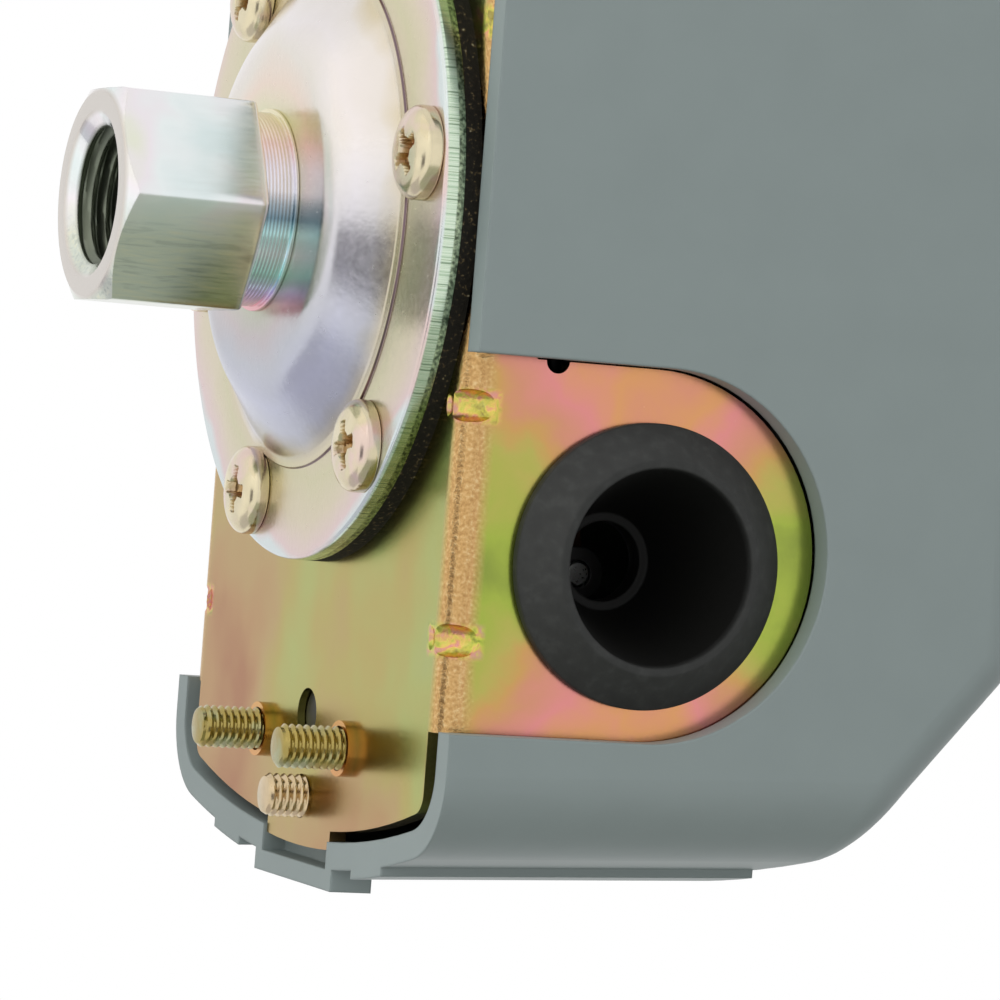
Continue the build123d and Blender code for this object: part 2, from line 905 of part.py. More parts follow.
with BuildPart() as terminal_block:
    with BuildSketch(Plane.XY.offset(plate_top)):
        with Locations((0, foot_front)):
            Rectangle(
                2 * foot_half_width, deck_back - foot_front, align=(Align.CENTER, Align.MIN)
            )
        with Locations((0, deck_back)):
            Rectangle(
                2 * foot_shelf_half_width, foot_back - deck_back, align=(Align.CENTER, Align.MIN)
            )
    extrude(amount=foot_height)
    # web between foot and deck, set back from the screw's head
    web_front = block_screw_y + block_screw_head_radius + seat_clearance
    with BuildSketch(Plane.XY.offset(plate_top)):
        with Locations((0, web_front)):
            Rectangle(
                2 * foot_half_width, deck_back - web_front, align=(Align.CENTER, Align.MIN)
            )
    extrude(amount=deck_bottom)
    with BuildSketch(Plane.XY.offset(deck_bottom_z)) as deck:
        with Locations((0, deck_front)):
            Rectangle(2 * deck_half_width, deck_back - deck_front, align=(Align.CENTER, Align.MIN))
        fillet(deck.vertices().group_by(Axis.Y)[0], radius=deck_corner)
    extrude(amount=deck_top_z - deck_bottom_z)
    # barriers stand between neighbouring terminals
    with BuildSketch(Plane.XY.offset(deck_top_z)):
        for i in range(3):
            with Locations(((i - 1) * terminal_pitch, deck_front)):
                Rectangle(barrier_width, deck_back - deck_front, align=(Align.CENTER, Align.MIN))
    extrude(amount=barrier_height)
    # cheeks for the contact arm's pin
    cheek_inner = foot_shelf_half_width - cheek_width
    with BuildSketch(Plane.YZ.offset(cheek_inner)):
        with Locations((arm_pivot_y, arm_pivot_z)):
            Circle(cheek_length / 2)
        with Locations((arm_pivot_y, foot_top)):
            Rectangle(cheek_length, arm_pivot_z - foot_top, align=(Align.CENTER, Align.MIN))
        with Locations((arm_pivot_y, arm_pivot_z)):
            Circle(arm_pin_radius + running_clearance, mode=Mode.SUBTRACT)
    extrude(amount=cheek_width)
    mirror(about=Plane.YZ)
    # locating peg that stops short of the floor's lower face
    with BuildSketch(Plane.XY.offset(plate_top)):
        with Locations((0, peg_hole_y)):
            Circle(peg_hole_radius - hole_clearance)
    extrude(amount=-sheet / 2)
    # holes: the foot's screw and the four terminal screws
    with BuildSketch(Plane.XY.offset(plate_top)):
        with Locations((0, block_screw_y)):
            Circle(screw_radius + hole_clearance)
    extrude(amount=foot_height, mode=Mode.SUBTRACT)
    with BuildSketch(Plane.XY.offset(deck_top_z)):
        with Locations([(x, terminal_screw_y) for x in terminal_xs]):
            Circle(screw_radius + fastener_clearance)
    extrude(amount=-(terminal_screw_depth + seat_clearance), mode=Mode.SUBTRACT)
save(terminal_block, "terminal_block")

with BuildPart() as terminal_plates:
    with BuildSketch(Plane.XY.offset(deck_top_z)) as plates:
        with Locations([(x, terminal_screw_y - clamp_size / 2) for x in terminal_xs]):
            Rectangle(
                terminal_plate_width,
                deck_back + terminal_plate_reach - (terminal_screw_y - clamp_size / 2),
                align=(Align.CENTER, Align.MIN),
            )
        fillet(plates.vertices(), radius=terminal_plate_thickness / 2)
        with Locations([(x, terminal_screw_y) for x in terminal_xs]):
            Circle(screw_radius + hole_clearance, mode=Mode.SUBTRACT)
    extrude(amount=terminal_plate_thickness)
save(terminal_plates, "terminal_plates")

plate_top_z = deck_top_z + terminal_plate_thickness
with BuildPart() as wire_clamps:
    with BuildSketch(Plane.XY.offset(plate_top_z)) as clamps:
        with Locations([(x, terminal_screw_y) for x in terminal_xs]):
            Rectangle(clamp_size, clamp_size)
        fillet(clamps.vertices(), radius=clamp_thickness / 2)
        with Locations([(x, terminal_screw_y) for x in terminal_xs]):
            Circle(screw_radius + hole_clearance, mode=Mode.SUBTRACT)
    extrude(amount=clamp_thickness)
    # a V groove under each clamp grips the wire
    with BuildSketch(Plane.YZ.offset(-deck_half_width)):
        for groove_y in (-clamp_size / 3, clamp_size / 3):
            with Locations((terminal_screw_y + groove_y, plate_top_z)):
                Rectangle(clamp_thickness, clamp_thickness, rotation=45)
    extrude(amount=2 * deck_half_width, mode=Mode.SUBTRACT)
save(wire_clamps, "wire_clamps")

terminal_screw = screw(
    screw_radius,
    deck_top_z - terminal_screw_depth,
    plate_top_z + clamp_thickness,
    binding_head_radius,
    binding_head_height,
    pan_head_rounding,
    down=False,
)
with BuildPart() as terminal_screws:
    with Locations([(x, terminal_screw_y) for x in terminal_xs]):
        add(terminal_screw)
save(terminal_screws, "terminal_screws")

with BuildPart() as fixed_contacts:
    with BuildSketch(Plane.XY.offset(deck_top_z)):
        with Locations([(x, contact_y) for x in terminal_xs]):
            Circle(contact_radius)
    extrude(amount=-fixed_contact_height)
    fillet(
        fixed_contacts.faces().group_by(Axis.Z)[0].edges(), radius=fixed_contact_height / 3
    )
save(fixed_contacts, "fixed_contacts")

# ---- contact arm ---------------------------------------------------------------------------
# A moulded rocker: the lever lifts its tail through the snap spring, and its head carries
# one contact bridge for each pole.

with BuildPart() as contact_arm:
    tail_end = arm_pivot_y + arm_tail
    spring_pad_end = snap_spring_y - snap_spring_radius - snap_wire
    with BuildSketch(Plane.YZ.offset(-arm_half_width)):
        with BuildLine():
            Polyline(
                (tail_end, arm_pivot_z - arm_tail_height / 2),
                (tail_end, arm_pivot_z + arm_tail_height / 2),
                (arm_pivot_y, arm_pivot_z + arm_hub_radius),
                (contact_y, bridge_bottom),
                (contact_y, bridge_bottom - arm_head_height),
                (arm_pivot_y, arm_pivot_z - arm_hub_radius),
                (spring_pad_end, arm_pivot_z - arm_tail_height / 2),
                close=True,
            )
        make_face()
        with Locations((arm_pivot_y, arm_pivot_z)):
            Circle(arm_hub_radius)
    extrude(amount=2 * arm_half_width)
    with BuildSketch(Plane.XY.offset(bridge_bottom)):
        with Locations((0, contact_y)):
            RectangleRounded(2 * arm_head_half_width, arm_head_length, arm_head_length / 5)
    extrude(amount=-arm_head_height)
    with BuildSketch(Plane.YZ.offset(-arm_half_width)):
        with Locations((arm_pivot_y, arm_pivot_z)):
            Circle(arm_pin_radius + running_clearance)
    extrude(amount=2 * arm_half_width, mode=Mode.SUBTRACT)
save(contact_arm, "contact_arm")

with BuildPart() as arm_pin:
    with BuildSketch(Plane.YZ.offset(-foot_shelf_half_width)):
        with Locations((arm_pivot_y, arm_pivot_z)):
            Circle(arm_pin_radius)
    extrude(amount=2 * foot_shelf_half_width)
    chamfer(arm_pin.edges(), length=arm_pin_radius / 6)
save(arm_pin, "arm_pin")

with BuildPart() as contact_bridges:
    with BuildSketch(Plane.XY.offset(bridge_bottom)):
        with Locations([(x, contact_y) for x in bridge_xs]):
            RectangleRounded(
                terminal_pitch + 2 * bridge_overhang, bridge_width, bridge_width / 4
            )
    extrude(amount=bridge_thickness)
save(contact_bridges, "contact_bridges")

with BuildPart() as moving_contacts:
    with BuildSketch(Plane.XY.offset(bridge_top)):
        with Locations([(x, contact_y) for x in terminal_xs]):
            Circle(contact_radius)
    extrude(amount=moving_contact_height)
    fillet(
        moving_contacts.faces().group_by(Axis.Z)[-1].edges(), radius=moving_contact_height / 3
    )
save(moving_contacts, "moving_contacts")

snap_spring_length = arm_pivot_z - arm_tail_height / 2 - lever_top
snap_spring = coil_spring(
    0, snap_spring_y, lever_top, snap_spring_length, snap_spring_radius, snap_wire, snap_spring_turns
)
save(snap_spring, "snap_spring")


# ---- cable grommets ------------------------------------------------------------------------


def grommet(side):
    """A rubber cone in the wing's hole, revolved about the entry axis; side is -1 or +1."""
    lip_x = base_half_width + grommet_lip_thickness
    nose_x = lip_x + grommet_nose
    back_x = wing_inner_x - grommet_back_lip
    tail_x = nose_x - grommet_nose - grommet_lip_thickness - grommet_tail - grommet_back_lip
    groove_radius = entry_hole_radius - fastener_clearance
    cone_radius = groove_radius - grommet_back_lip
    with BuildPart() as made:
        with BuildSketch(Plane.XY.offset(entry_z)):
            with BuildLine():
                Polyline(
                    (side * tail_x, entry_y + cable_hole_radius),
                    (side * tail_x, entry_y + grommet_tail_radius + grommet_wall / 2),
                    (side * back_x, entry_y + cone_radius),
                    (side * back_x, entry_y + grommet_back_lip_radius - grommet_wall),
                    (side * wing_inner_x, entry_y + grommet_back_lip_radius),
                    (side * wing_inner_x, entry_y + groove_radius),
                    (side * base_half_width, entry_y + groove_radius),
                    (side * base_half_width, entry_y + grommet_lip_radius),
                    (side * lip_x, entry_y + grommet_lip_radius),
                    (side * nose_x, entry_y + grommet_mouth_radius + grommet_rim),
                    (side * nose_x, entry_y + grommet_mouth_radius),
                    (side * (tail_x + cable_hole_length), entry_y + grommet_tail_radius),
                    (side * (tail_x + cable_hole_length), entry_y + cable_hole_radius),
                    close=True,
                )
            make_face()
        entry_axis = Axis((0, entry_y, entry_z), (1, 0, 0))
        revolve(axis=entry_axis)
    return made


grommet_left = grommet(-1)
save(grommet_left, "grommet_left")
grommet_right = grommet(1)
save(grommet_right, "grommet_right")

# ---- cover ---------------------------------------------------------------------------------
# A moulded shell: drafted walls, shallow curved ends, sloped shoulders and a notch in each
# side for the conduit wings.


def cover_plan(height, inset, end_shift=0.0):
    """The cover's outline at a height above the rim, drafted, and moved in by inset."""
    half_width = cover_half_width - inset - height * tan(radians(cover_side_draft))
    lean = height * tan(radians(cover_end_draft))
    terminal = cover_terminal_end + inset + lean - end_shift
    far = cover_far_end - inset - lean
    curve = cover_end_curve - inset
    with BuildSketch(Plane.XY.offset(rim_z + height)) as plan:
        low = end_arc_y(half_width, terminal, curve, -1)
        high = end_arc_y(half_width, far, curve, 1)
        with BuildLine():
            ThreePointArc((-half_width, low), (0, terminal), (half_width, low))
            Line((half_width, low), (half_width, high))
            ThreePointArc((half_width, high), (0, far), (-half_width, high))
            Line((-half_width, high), (-half_width, low))
        make_face()
        fillet(plan.vertices(), radius=cover_corner - inset)
    return plan.sketch


def cover_form(inset, end_shift=0.0):
    """The cover as a solid block, moved in by inset on every side but the open one."""
    slope = tan(radians(shoulder_slope))
    top = cover_height - inset
    start = shoulder_start - inset / cos(radians(shoulder_slope))
    run = (top - start) / slope
    middle = (cover_terminal_end + cover_far_end) / 2
    half_length = (cover_far_end - cover_terminal_end) / 2
    reach = half_length + cover_wall
    with BuildPart() as form:
        loft(
            sections=[
                cover_plan(0, inset, end_shift),
                cover_plan(cover_height - inset, inset, end_shift),
            ],
            ruled=True,
        )
        with BuildSketch(Plane.YZ.offset(-cover_half_width)):
            with BuildLine():
                Polyline(
                    (middle - reach, rim_z),
                    (middle - reach, rim_z + start - cover_wall * slope),
                    (middle - half_length + run, rim_z + top),
                    (middle + half_length - run, rim_z + top),
                    (middle + reach, rim_z + start - cover_wall * slope),
                    (middle + reach, rim_z),
                    close=True,
                )
            make_face()
        extrude(amount=2 * cover_half_width, mode=Mode.INTERSECT)
        shoulders = form.faces().filter_by(
            lambda face: abs(face.normal_at().Z - cos(radians(shoulder_slope))) < face_angle_slack
        )
        fillet(
            shoulders.edges() + form.faces().sort_by(Axis.Z)[-1].edges(),
            radius=shoulder_rounding - inset,
        )
    return form.part


outer_form = cover_form(0)
inner_form = cover_form(cover_wall)
rib_form = cover_form(0, end_shift=rib_proud)
with BuildPart() as cover:
    add(outer_form)
    # two ribs run up the terminal end
    with BuildPart(mode=Mode.PRIVATE) as ribs:
        add(rib_form)
        with BuildSketch(Plane.XY.offset(rim_z)):
            with Locations(
                (-(rib_inner_x + rib_outer_x) / 2, cover_terminal_end),
                ((rib_inner_x + rib_outer_x) / 2, cover_terminal_end),
            ):
                Rectangle(rib_outer_x - rib_inner_x, 2 * rib_root_depth)
        extrude(amount=rib_height, mode=Mode.INTERSECT)
    add(ribs.part)
    # the block that houses the base plate's tab
    pocket_end = floor_terminal_end - tab_length - pocket_depth
    with BuildSketch(Plane.XY.offset(rim_z)):
        with Locations((0, pocket_end - pocket_wall)):
            Rectangle(
                2 * (pocket_half_width + pocket_side_wall),
                cover_wall + pocket_wall,
                align=(Align.CENTER, Align.MIN),
            )
    extrude(amount=pocket_block_height)
    add(inner_form, mode=Mode.SUBTRACT)
    # the pocket itself, open to the inside
    with BuildSketch(Plane.XY.offset(rim_z)):
        with Locations((0, pocket_end)):
            Rectangle(2 * pocket_half_width, cover_wall + pocket_wall, align=(Align.CENTER, Align.MIN))
    extrude(amount=rim_setback + sheet + pocket_clearance, mode=Mode.SUBTRACT)
    # a notch in each side, open at the rim, bares the conduit wing
    notch_z = plate_bottom + notch_centre_height
    with BuildSketch(Plane.YZ.offset(-cover_half_width)):
        with Locations((notch_y, notch_z)):
            Circle(notch_radius)
            Rectangle(2 * notch_radius, 2 * (notch_z - rim_z), align=(Align.CENTER, Align.MAX))
    extrude(amount=2 * cover_half_width, mode=Mode.SUBTRACT)
    # the stud's hole in the top
    with BuildSketch(Plane.XY.offset(cover_top - 2 * cover_wall)):
        with Locations((0, range_y)):
            Circle(stud_hole_radius)
    extrude(amount=3 * cover_wall, mode=Mode.SUBTRACT)
save(cover, "cover")

# ---- cover nut -----------------------------------------------------------------------------
# A domed hexagon nut with a flange, run down on the range stud.

with BuildPart() as cover_nut:
    with BuildSketch(Plane.XY.offset(cover_top)):
        with Locations((0, range_y)):
            Circle(cover_nut_flange_radius)
    extrude(amount=cover_nut_flange)
    with BuildSketch(Plane.XY.offset(cover_nut_hex_z)):
        with Locations((0, range_y)):
            RegularPolygon(radius=cover_nut_across_flats / 2, side_count=6, major_radius=False)
    extrude(amount=cover_nut_hex_height)
    dome_radius = cover_nut_across_flats / 2 - cover_nut_dome_inset
    dome_z = cover_nut_hex_z + cover_nut_hex_height
    with BuildSketch(Plane.XZ.offset(-range_y)):
        with BuildLine():
            Polyline((dome_radius, dome_z), (0, dome_z), (0, dome_z + cover_nut_dome))
            ThreePointArc(
                (0, dome_z + cover_nut_dome),
                (dome_radius * sin(radians(45)), dome_z + cover_nut_dome * sin(radians(45))),
                (dome_radius, dome_z),
            )
        make_face()
    revolve(axis=Axis((0, range_y, 0), (0, 0, 1)))
    with BuildSketch(Plane.XY.offset(cover_top)):
        with Locations((0, range_y)):
            Circle(range_stud_radius + running_clearance)
    extrude(amount=range_stud_top - cover_top + seat_clearance, mode=Mode.SUBTRACT)
save(cover_nut, "cover_nut")
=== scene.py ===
"""A diaphragm pressure switch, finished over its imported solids.

The port fitting, the pressed flange, the screws, the studs and the springs are surfaces worked out
here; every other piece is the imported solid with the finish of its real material.
"""

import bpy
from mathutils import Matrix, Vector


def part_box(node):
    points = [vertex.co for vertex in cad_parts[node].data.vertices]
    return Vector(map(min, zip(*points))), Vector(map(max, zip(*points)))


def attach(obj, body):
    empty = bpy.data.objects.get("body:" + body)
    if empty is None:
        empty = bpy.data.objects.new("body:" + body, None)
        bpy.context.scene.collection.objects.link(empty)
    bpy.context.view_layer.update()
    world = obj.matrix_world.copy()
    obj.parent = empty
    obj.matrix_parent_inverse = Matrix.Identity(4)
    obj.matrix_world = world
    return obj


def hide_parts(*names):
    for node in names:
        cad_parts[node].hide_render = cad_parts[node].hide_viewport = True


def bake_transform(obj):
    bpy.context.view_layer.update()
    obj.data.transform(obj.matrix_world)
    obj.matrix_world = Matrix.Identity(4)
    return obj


bl_info = {
    "name": "Diaphragm pressure switch",
    "version": (1, 0, 0),
    "blender": (4, 5, 0),
    "location": "View3D > Sidebar > Pressure switch",
    "description": "Builds the looks of a diaphragm pressure switch over its packed solids",
    "category": "Object",
}

from functools import partial
from math import pi, radians

import bmesh
import bpy
import numpy as np
from bpy.props import FloatProperty, FloatVectorProperty, IntProperty, PointerProperty
from mathutils import Euler, Matrix, Vector

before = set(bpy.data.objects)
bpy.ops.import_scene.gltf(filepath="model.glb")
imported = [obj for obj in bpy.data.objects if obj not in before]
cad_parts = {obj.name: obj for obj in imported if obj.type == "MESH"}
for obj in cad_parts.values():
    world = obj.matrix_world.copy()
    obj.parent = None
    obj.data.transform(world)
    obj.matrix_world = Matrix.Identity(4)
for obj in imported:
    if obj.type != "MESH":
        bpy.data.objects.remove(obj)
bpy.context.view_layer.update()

MM = 0.001


def linear(code):
    """A hex colour made linear: c / 12.92 up to 0.04045, else ((c + 0.055) / 1.055) ** 2.4."""
    c = np.array([int(code[i : i + 2], 16) for i in (1, 3, 5)]) / 255
    return (*np.where(c <= 0.04045, c / 12.92, ((c + 0.055) / 1.055) ** 2.4).tolist(), 1.0)


def titled(key, words):
    """A property's name and description."""
    return {"name": key.replace("_", " ").capitalize(), "description": words}


def lengths(**sizes):
    """Properties for sizes, each given by what it is and how many mm."""
    return {
        key: FloatProperty(**titled(key, words), default=size * MM, min=0.0, unit="LENGTH")
        for key, (words, size) in sizes.items()
    }


def colours(**codes):
    """Properties for colours, each given by what it is and its sRGB hex code."""
    look = {"size": 4, "min": 0.0, "max": 1.0, "subtype": "COLOR"}
    return {
        key: FloatVectorProperty(**titled(key, words), default=linear(code), **look)
        for key, (words, code) in codes.items()
    }


# ---- sizes and colours ----------------------------------------------------------------------


class FittingSizes(bpy.types.PropertyGroup):
    """Sizes of the hexagon port fitting."""

    __annotations__ = lengths(
        across_flats=("Width of the hexagon bar", 19.05),
        hex_length=("Length of the hexagon", 13.3),
        chamfer=("Height of the cone at the front corners", 1.0),
        mouth_radius=("Radius of the lead-in at the face", 7.6),
        mouth_depth=("Depth of the lead-in", 0.85),
        thread_radius=("Middle radius of the pipe thread", 6.3),
        thread_depth=("Depth of the thread", 14.0),
        thread_pitch=("Rise of the thread in one turn", 1.411),
        thread_height=("Root to crest of the thread", 0.9),
        neck_radius=("Radius of the turned neck", 8.9),
        neck_length=("Length of the neck with its lip", 3.3),
        face_margin=("How far the flat face stops inside the flats", 0.25),
        edge_rounding=("Rounding of the hexagon's edges", 0.4),
        lip=("Width and height of the lip behind the neck", 0.4),
        hole_radius=("Radius of the hole in the flange", 7.4),
        clinch_grip=("Thickness the clinch grips", 1.95),
        clinch_radius=("Radius of the clinched ring", 8.6),
        clinch=("Height of the clinched ring", 0.85),
        inlet_radius=("Radius of the hole through to the diaphragm", 2.5),
        groove_pitch=("Spacing of the tool marks on the neck", 0.34),
        groove_depth=("Depth of the tool marks", 0.035),
    )


class FlangeSizes(bpy.types.PropertyGroup):
    """Sizes of the pressed pressure flange and its screws."""

    __annotations__ = lengths(
        radius=("Outer radius", 31.75),
        sheet=("Thickness of the steel", 1.9),
        bottom=("Height of the rim's lower face", 21.3),
        hole_radius=("Radius of the fitting's hole", 7.4),
        dome_low=("Height of the dome's flat top", 16.6),
        top_radius=("Radius where the flat top turns down", 16.4),
        top_rounding=("Rounding between the top and the wall", 5.0),
        bead_radius=("Outer radius of the bead", 23.4),
        bead_width=("Width of the bead's slope", 1.0),
        bead_height=("Drop from the rim to the dome's edge", 0.25),
        lip_rounding=("Roll-over of the cut edge", 0.55),
        screw_circle=("Radius of the circle of screws", 27.36),
    )
    screw_turn: FloatProperty(
        name="Screw turn", description="Angle of the first screw", default=radians(49.6),
        subtype="ANGLE"
    )
    screw_count: IntProperty(name="Screws", description="Number of flange screws", default=6, min=1)


class ScrewSizes(bpy.types.PropertyGroup):
    """Sizes of the screws, studs and springs."""

    __annotations__ = lengths(
        shank_radius=("Radius of the screws over their thread", 2.0),
        pitch=("Rise of the screw thread in one turn", 0.7),
        head_radius=("Radius of a pan head", 4.15),
        head_height=("Height of a pan head", 2.15),
        head_rounding=("Height of a head's rounded edge", 1.35),
        crown_radius=("Radius of the crown of a head", 26),
        recess_reach=("Reach of the cross recess", 2.25),
        recess_width=("Width of a wing of the recess", 0.95),
        recess_depth=("Depth of the recess", 1.6),
        flange_length=("Length under the head", 6.7),
        ground_length=("Length under the head", 9.2),
        block_length=("Length under the head", 8.3),
        block_radius=("Radius of the block screw's head", 3.2),
        binding_radius=("Radius of a terminal screw's head", 4.1),
        binding_height=("Height of that head", 2.6),
        binding_rounding=("Height of that head's edge", 0.9),
        stud_radius=("Radius of the range stud", 3.0),
        stud_pitch=("Rise of the range stud's thread in one turn", 1.0),
        stud_head=("Height of a stud's flat head", 1.3),
    )


class PlateSizes(bpy.types.PropertyGroup):
    """Where things stand on the base plate, from the axis of the port and from its mouth."""

    __annotations__ = lengths(
        entry_out=("Distance of the cable entries in front", 29.45),
        entry_height=("Height of the cable entries' axis", 42.95),
        ground_side=("Distance to either side", 10.6),
        ground_out=("Distance in front", 48.2),
        ground_seat=("Height under the head", 27.1),
        block_out=("Distance in front", 53.5),
        block_seat=("Height under the head", 29.3),
        terminal_pitch=("From one terminal to the next", 13.0),
        terminal_out=("Distance of the terminals in front", 48.0),
        range_out=("Distance in front", 11.0),
        differential_side=("Distance to the side", 8.6),
        differential_back=("Distance behind", 8.2),
        snap_out=("Distance in front", 23.4),
        dart_middle=("Middle between two darts, in front", 26.8),
        dart_spread=("From that middle to either dart", 10.2),
    )


class Finishes(bpy.types.PropertyGroup):
    """Base colours of the finishes."""

    __annotations__ = colours(
        fitting_zinc=("Plated turned steel", "#E6ECEC"),
        flange_zinc=("Plated pressed steel", "#E2DCD4"),
        screw_zinc=("Pale yellow plated flange screws", "#DED2B2"),
        ground_zinc=("Gold-green plated ground screws", "#A89658"),
        block_zinc=("Champagne plated screw", "#D2BC98"),
        bright_zinc=("Clear plated terminal screws", "#DCDAD2"),
        hardware_zinc=("Plated small parts", "#C9CBC8"),
        yellow_zinc=("Yellow chromate over zinc", "#AFA055"),
        spring_steel=("Oil-tempered wire", "#84878A"),
        diaphragm_rubber=("Nitrile sheet", "#110F0A"),
        grommet_rubber=("Moulded rubber", "#2B2C2B"),
        cover_grey=("Moulded ABS", "#7B8685"),
        black_moulding=("Phenolic", "#242424"),
        brown_moulding=("Phenolic", "#4B2D1F"),
        brass=("Stamped strip", "#D9B45F"),
        silver=("Contact rivets", "#E4E4E0"),
    )


class Studio(bpy.types.PropertyGroup):
    """The camera, the floor and the light."""

    __annotations__ = {
        **lengths(
            floor_drop=("How far below the port's mouth the floor lies", 550.0),
            floor_half=("Half the floor's width", 1500.0),
        ),
        **colours(
            floor_pale=("The floor's colour", "#EDEDEB"),
            flag_grey=("What the metal mirrors from below", "#B6BCB0"),
            flag_pale=("What the dome mirrors from below", "#D4D3D8"),
            flag_dark=("What the screw heads mirror", "#868588"),
        ),
    }
    camera_place: FloatVectorProperty(
        name="Camera", description="Where the camera stands", subtype="TRANSLATION", unit="LENGTH",
        default=(-403.06 * MM, -20.24 * MM, -132.33 * MM),
    )
    camera_turn: FloatVectorProperty(
        name="Camera turn", description="How the camera is turned", subtype="EULER",
        default=(radians(-170.541), radians(-66.2171), radians(169.0167)),
    )
    lens: FloatProperty(name="Lens", description="Focal length", default=168.54, unit="CAMERA")
    glow: FloatProperty(name="Glow", description="Strength of the pale card", default=1.15, min=0.0)
    sky: FloatProperty(name="Sky", description="The light all round", default=0.6, min=0.0)
    key: FloatProperty(name="Key", description="Watts of the lamp above", default=3.4, min=0.0)
    back: FloatProperty(name="Back", description="Watts of the lamp behind", default=2.4, min=0.0)
    fill: FloatProperty(name="Fill", description="Watts of the lamp below", default=2.6, min=0.0)


# ---- shapes ---------------------------------------------------------------------------------


def rounded(corners, radii, steps=6):
    """An open run of (radius, height) corners with each corner rounded.

    At a corner P with unit vectors a and b to its neighbours and a half angle h between them, the
    arc's centre is P + (a + b) / |a + b| * r / sin h, and its points swing from P + a * r / tan h
    to P + b * r / tan h.
    """
    p = np.array(corners, float)
    r = np.array(radii, float)[1:-1, None]
    middle = p[1:-1]
    a = p[:-2] - middle
    b = p[2:] - middle
    a /= np.linalg.norm(a, axis=1, keepdims=True)
    b /= np.linalg.norm(b, axis=1, keepdims=True)
    half = np.arccos(np.clip((a * b).sum(1), -1, 1))[:, None] / 2
    away = (a + b) / np.maximum(np.linalg.norm(a + b, axis=1, keepdims=True), 1e-12)
    centre = middle + away * r / np.sin(half)
    start = middle + a * r / np.tan(half) - centre
    end = middle + b * r / np.tan(half) - centre
    swing = (pi - 2 * half)[:, None]
    s = np.linspace(0, 1, steps)[None, :, None]
    arcs = np.sin((1 - s) * swing) * start[:, None] + np.sin(s * swing) * end[:, None]
    arcs = arcs / np.sin(swing)
    return np.concatenate([p[:1], (centre[:, None] + arcs).reshape(-1, 2), p[-1:]])


def turned(profile, angles):
    """A (radius, height) profile carried round the Z axis: (r cos a, r sin a, z)."""
    r, z = profile[:, :1], profile[:, 1:]
    return np.stack([r * np.cos(angles), r * np.sin(angles), z + 0 * angles], -1)


def wave(turns):
    """A thread's height as a share: a triangle wave of the turns, flattened at crest and root."""
    t = np.abs((turns % 1) * 2 - 1)
    return np.clip(t * 1.3 - 0.15, 0, 1)


def smooth_step(low, high, x):
    """0 below low, 1 above high, and 3 t^2 - 2 t^3 between."""
    t = np.clip((x - low) / (high - low), 0, 1)
    return t * t * (3 - 2 * t)


def soft_min(a, b, k):
    """The smaller of a and b, filleted: min(a, b) - k h^2 / 4, h = max(k - |a - b|, 0) / k."""
    h = np.maximum(k - np.abs(a - b), 0) / k
    return np.minimum(a, b) - h * h * k / 4


def make_mesh(name, grids, close_rows, close_columns, values=None, crease=32):
    """A piece from grids of points[copy, row, column], with quads between neighbouring points.

    Points that fall together are merged, so poles close, and the faces are turned outwards. values
    holds named numbers for each point.
    """
    grids = np.asarray(grids, float)
    copies, rows, columns = grids.shape[:3]
    i, j = np.meshgrid(
        np.arange(rows - (not close_rows)), np.arange(columns - (not close_columns)), indexing="ij"
    )
    corners = [(i, j), (i, j + 1), (i + 1, j + 1), (i + 1, j)]
    quads = np.stack([(a % rows) * columns + b % columns for a, b in corners], -1).reshape(-1, 4)
    faces = (np.arange(copies)[:, None, None] * rows * columns + quads).reshape(-1, 4)
    places = np.stack([np.stack([b / columns, a / rows], -1) for a, b in corners], 2).reshape(-1, 2)
    mesh = bpy.data.meshes.new(name)
    mesh.from_pydata(grids.reshape(-1, 3), [], faces)
    layer = mesh.uv_layers.new(name="Wrap")
    layer.uv.foreach_set("vector", np.tile(places, (copies, 1)).astype(np.float32).ravel())
    for key, numbers in (values or {}).items():
        attribute = mesh.attributes.new(key, "FLOAT", "POINT")
        spread = np.broadcast_to(numbers, grids.shape[:3]).astype(np.float32)
        attribute.data.foreach_set("value", spread.ravel())
    work = bmesh.new()
    work.from_mesh(mesh)
    bmesh.ops.remove_doubles(work, verts=work.verts, dist=2e-7)
    bmesh.ops.recalc_face_normals(work, faces=work.faces)
    work.to_mesh(mesh)
    work.free()
    mesh.shade_smooth()
    mesh.set_sharp_from_angle(angle=radians(crease))
    piece = bpy.data.objects.new(name, mesh)
    bpy.context.scene.collection.objects.link(piece)
    return piece


def hexagon(angles, across_flats):
    """A hexagon's radius, a corner at angle 0: half its width / cos(a mod 60 - 30 degrees)."""
    return across_flats / 2 / np.cos(angles % (pi / 3) - pi / 6)


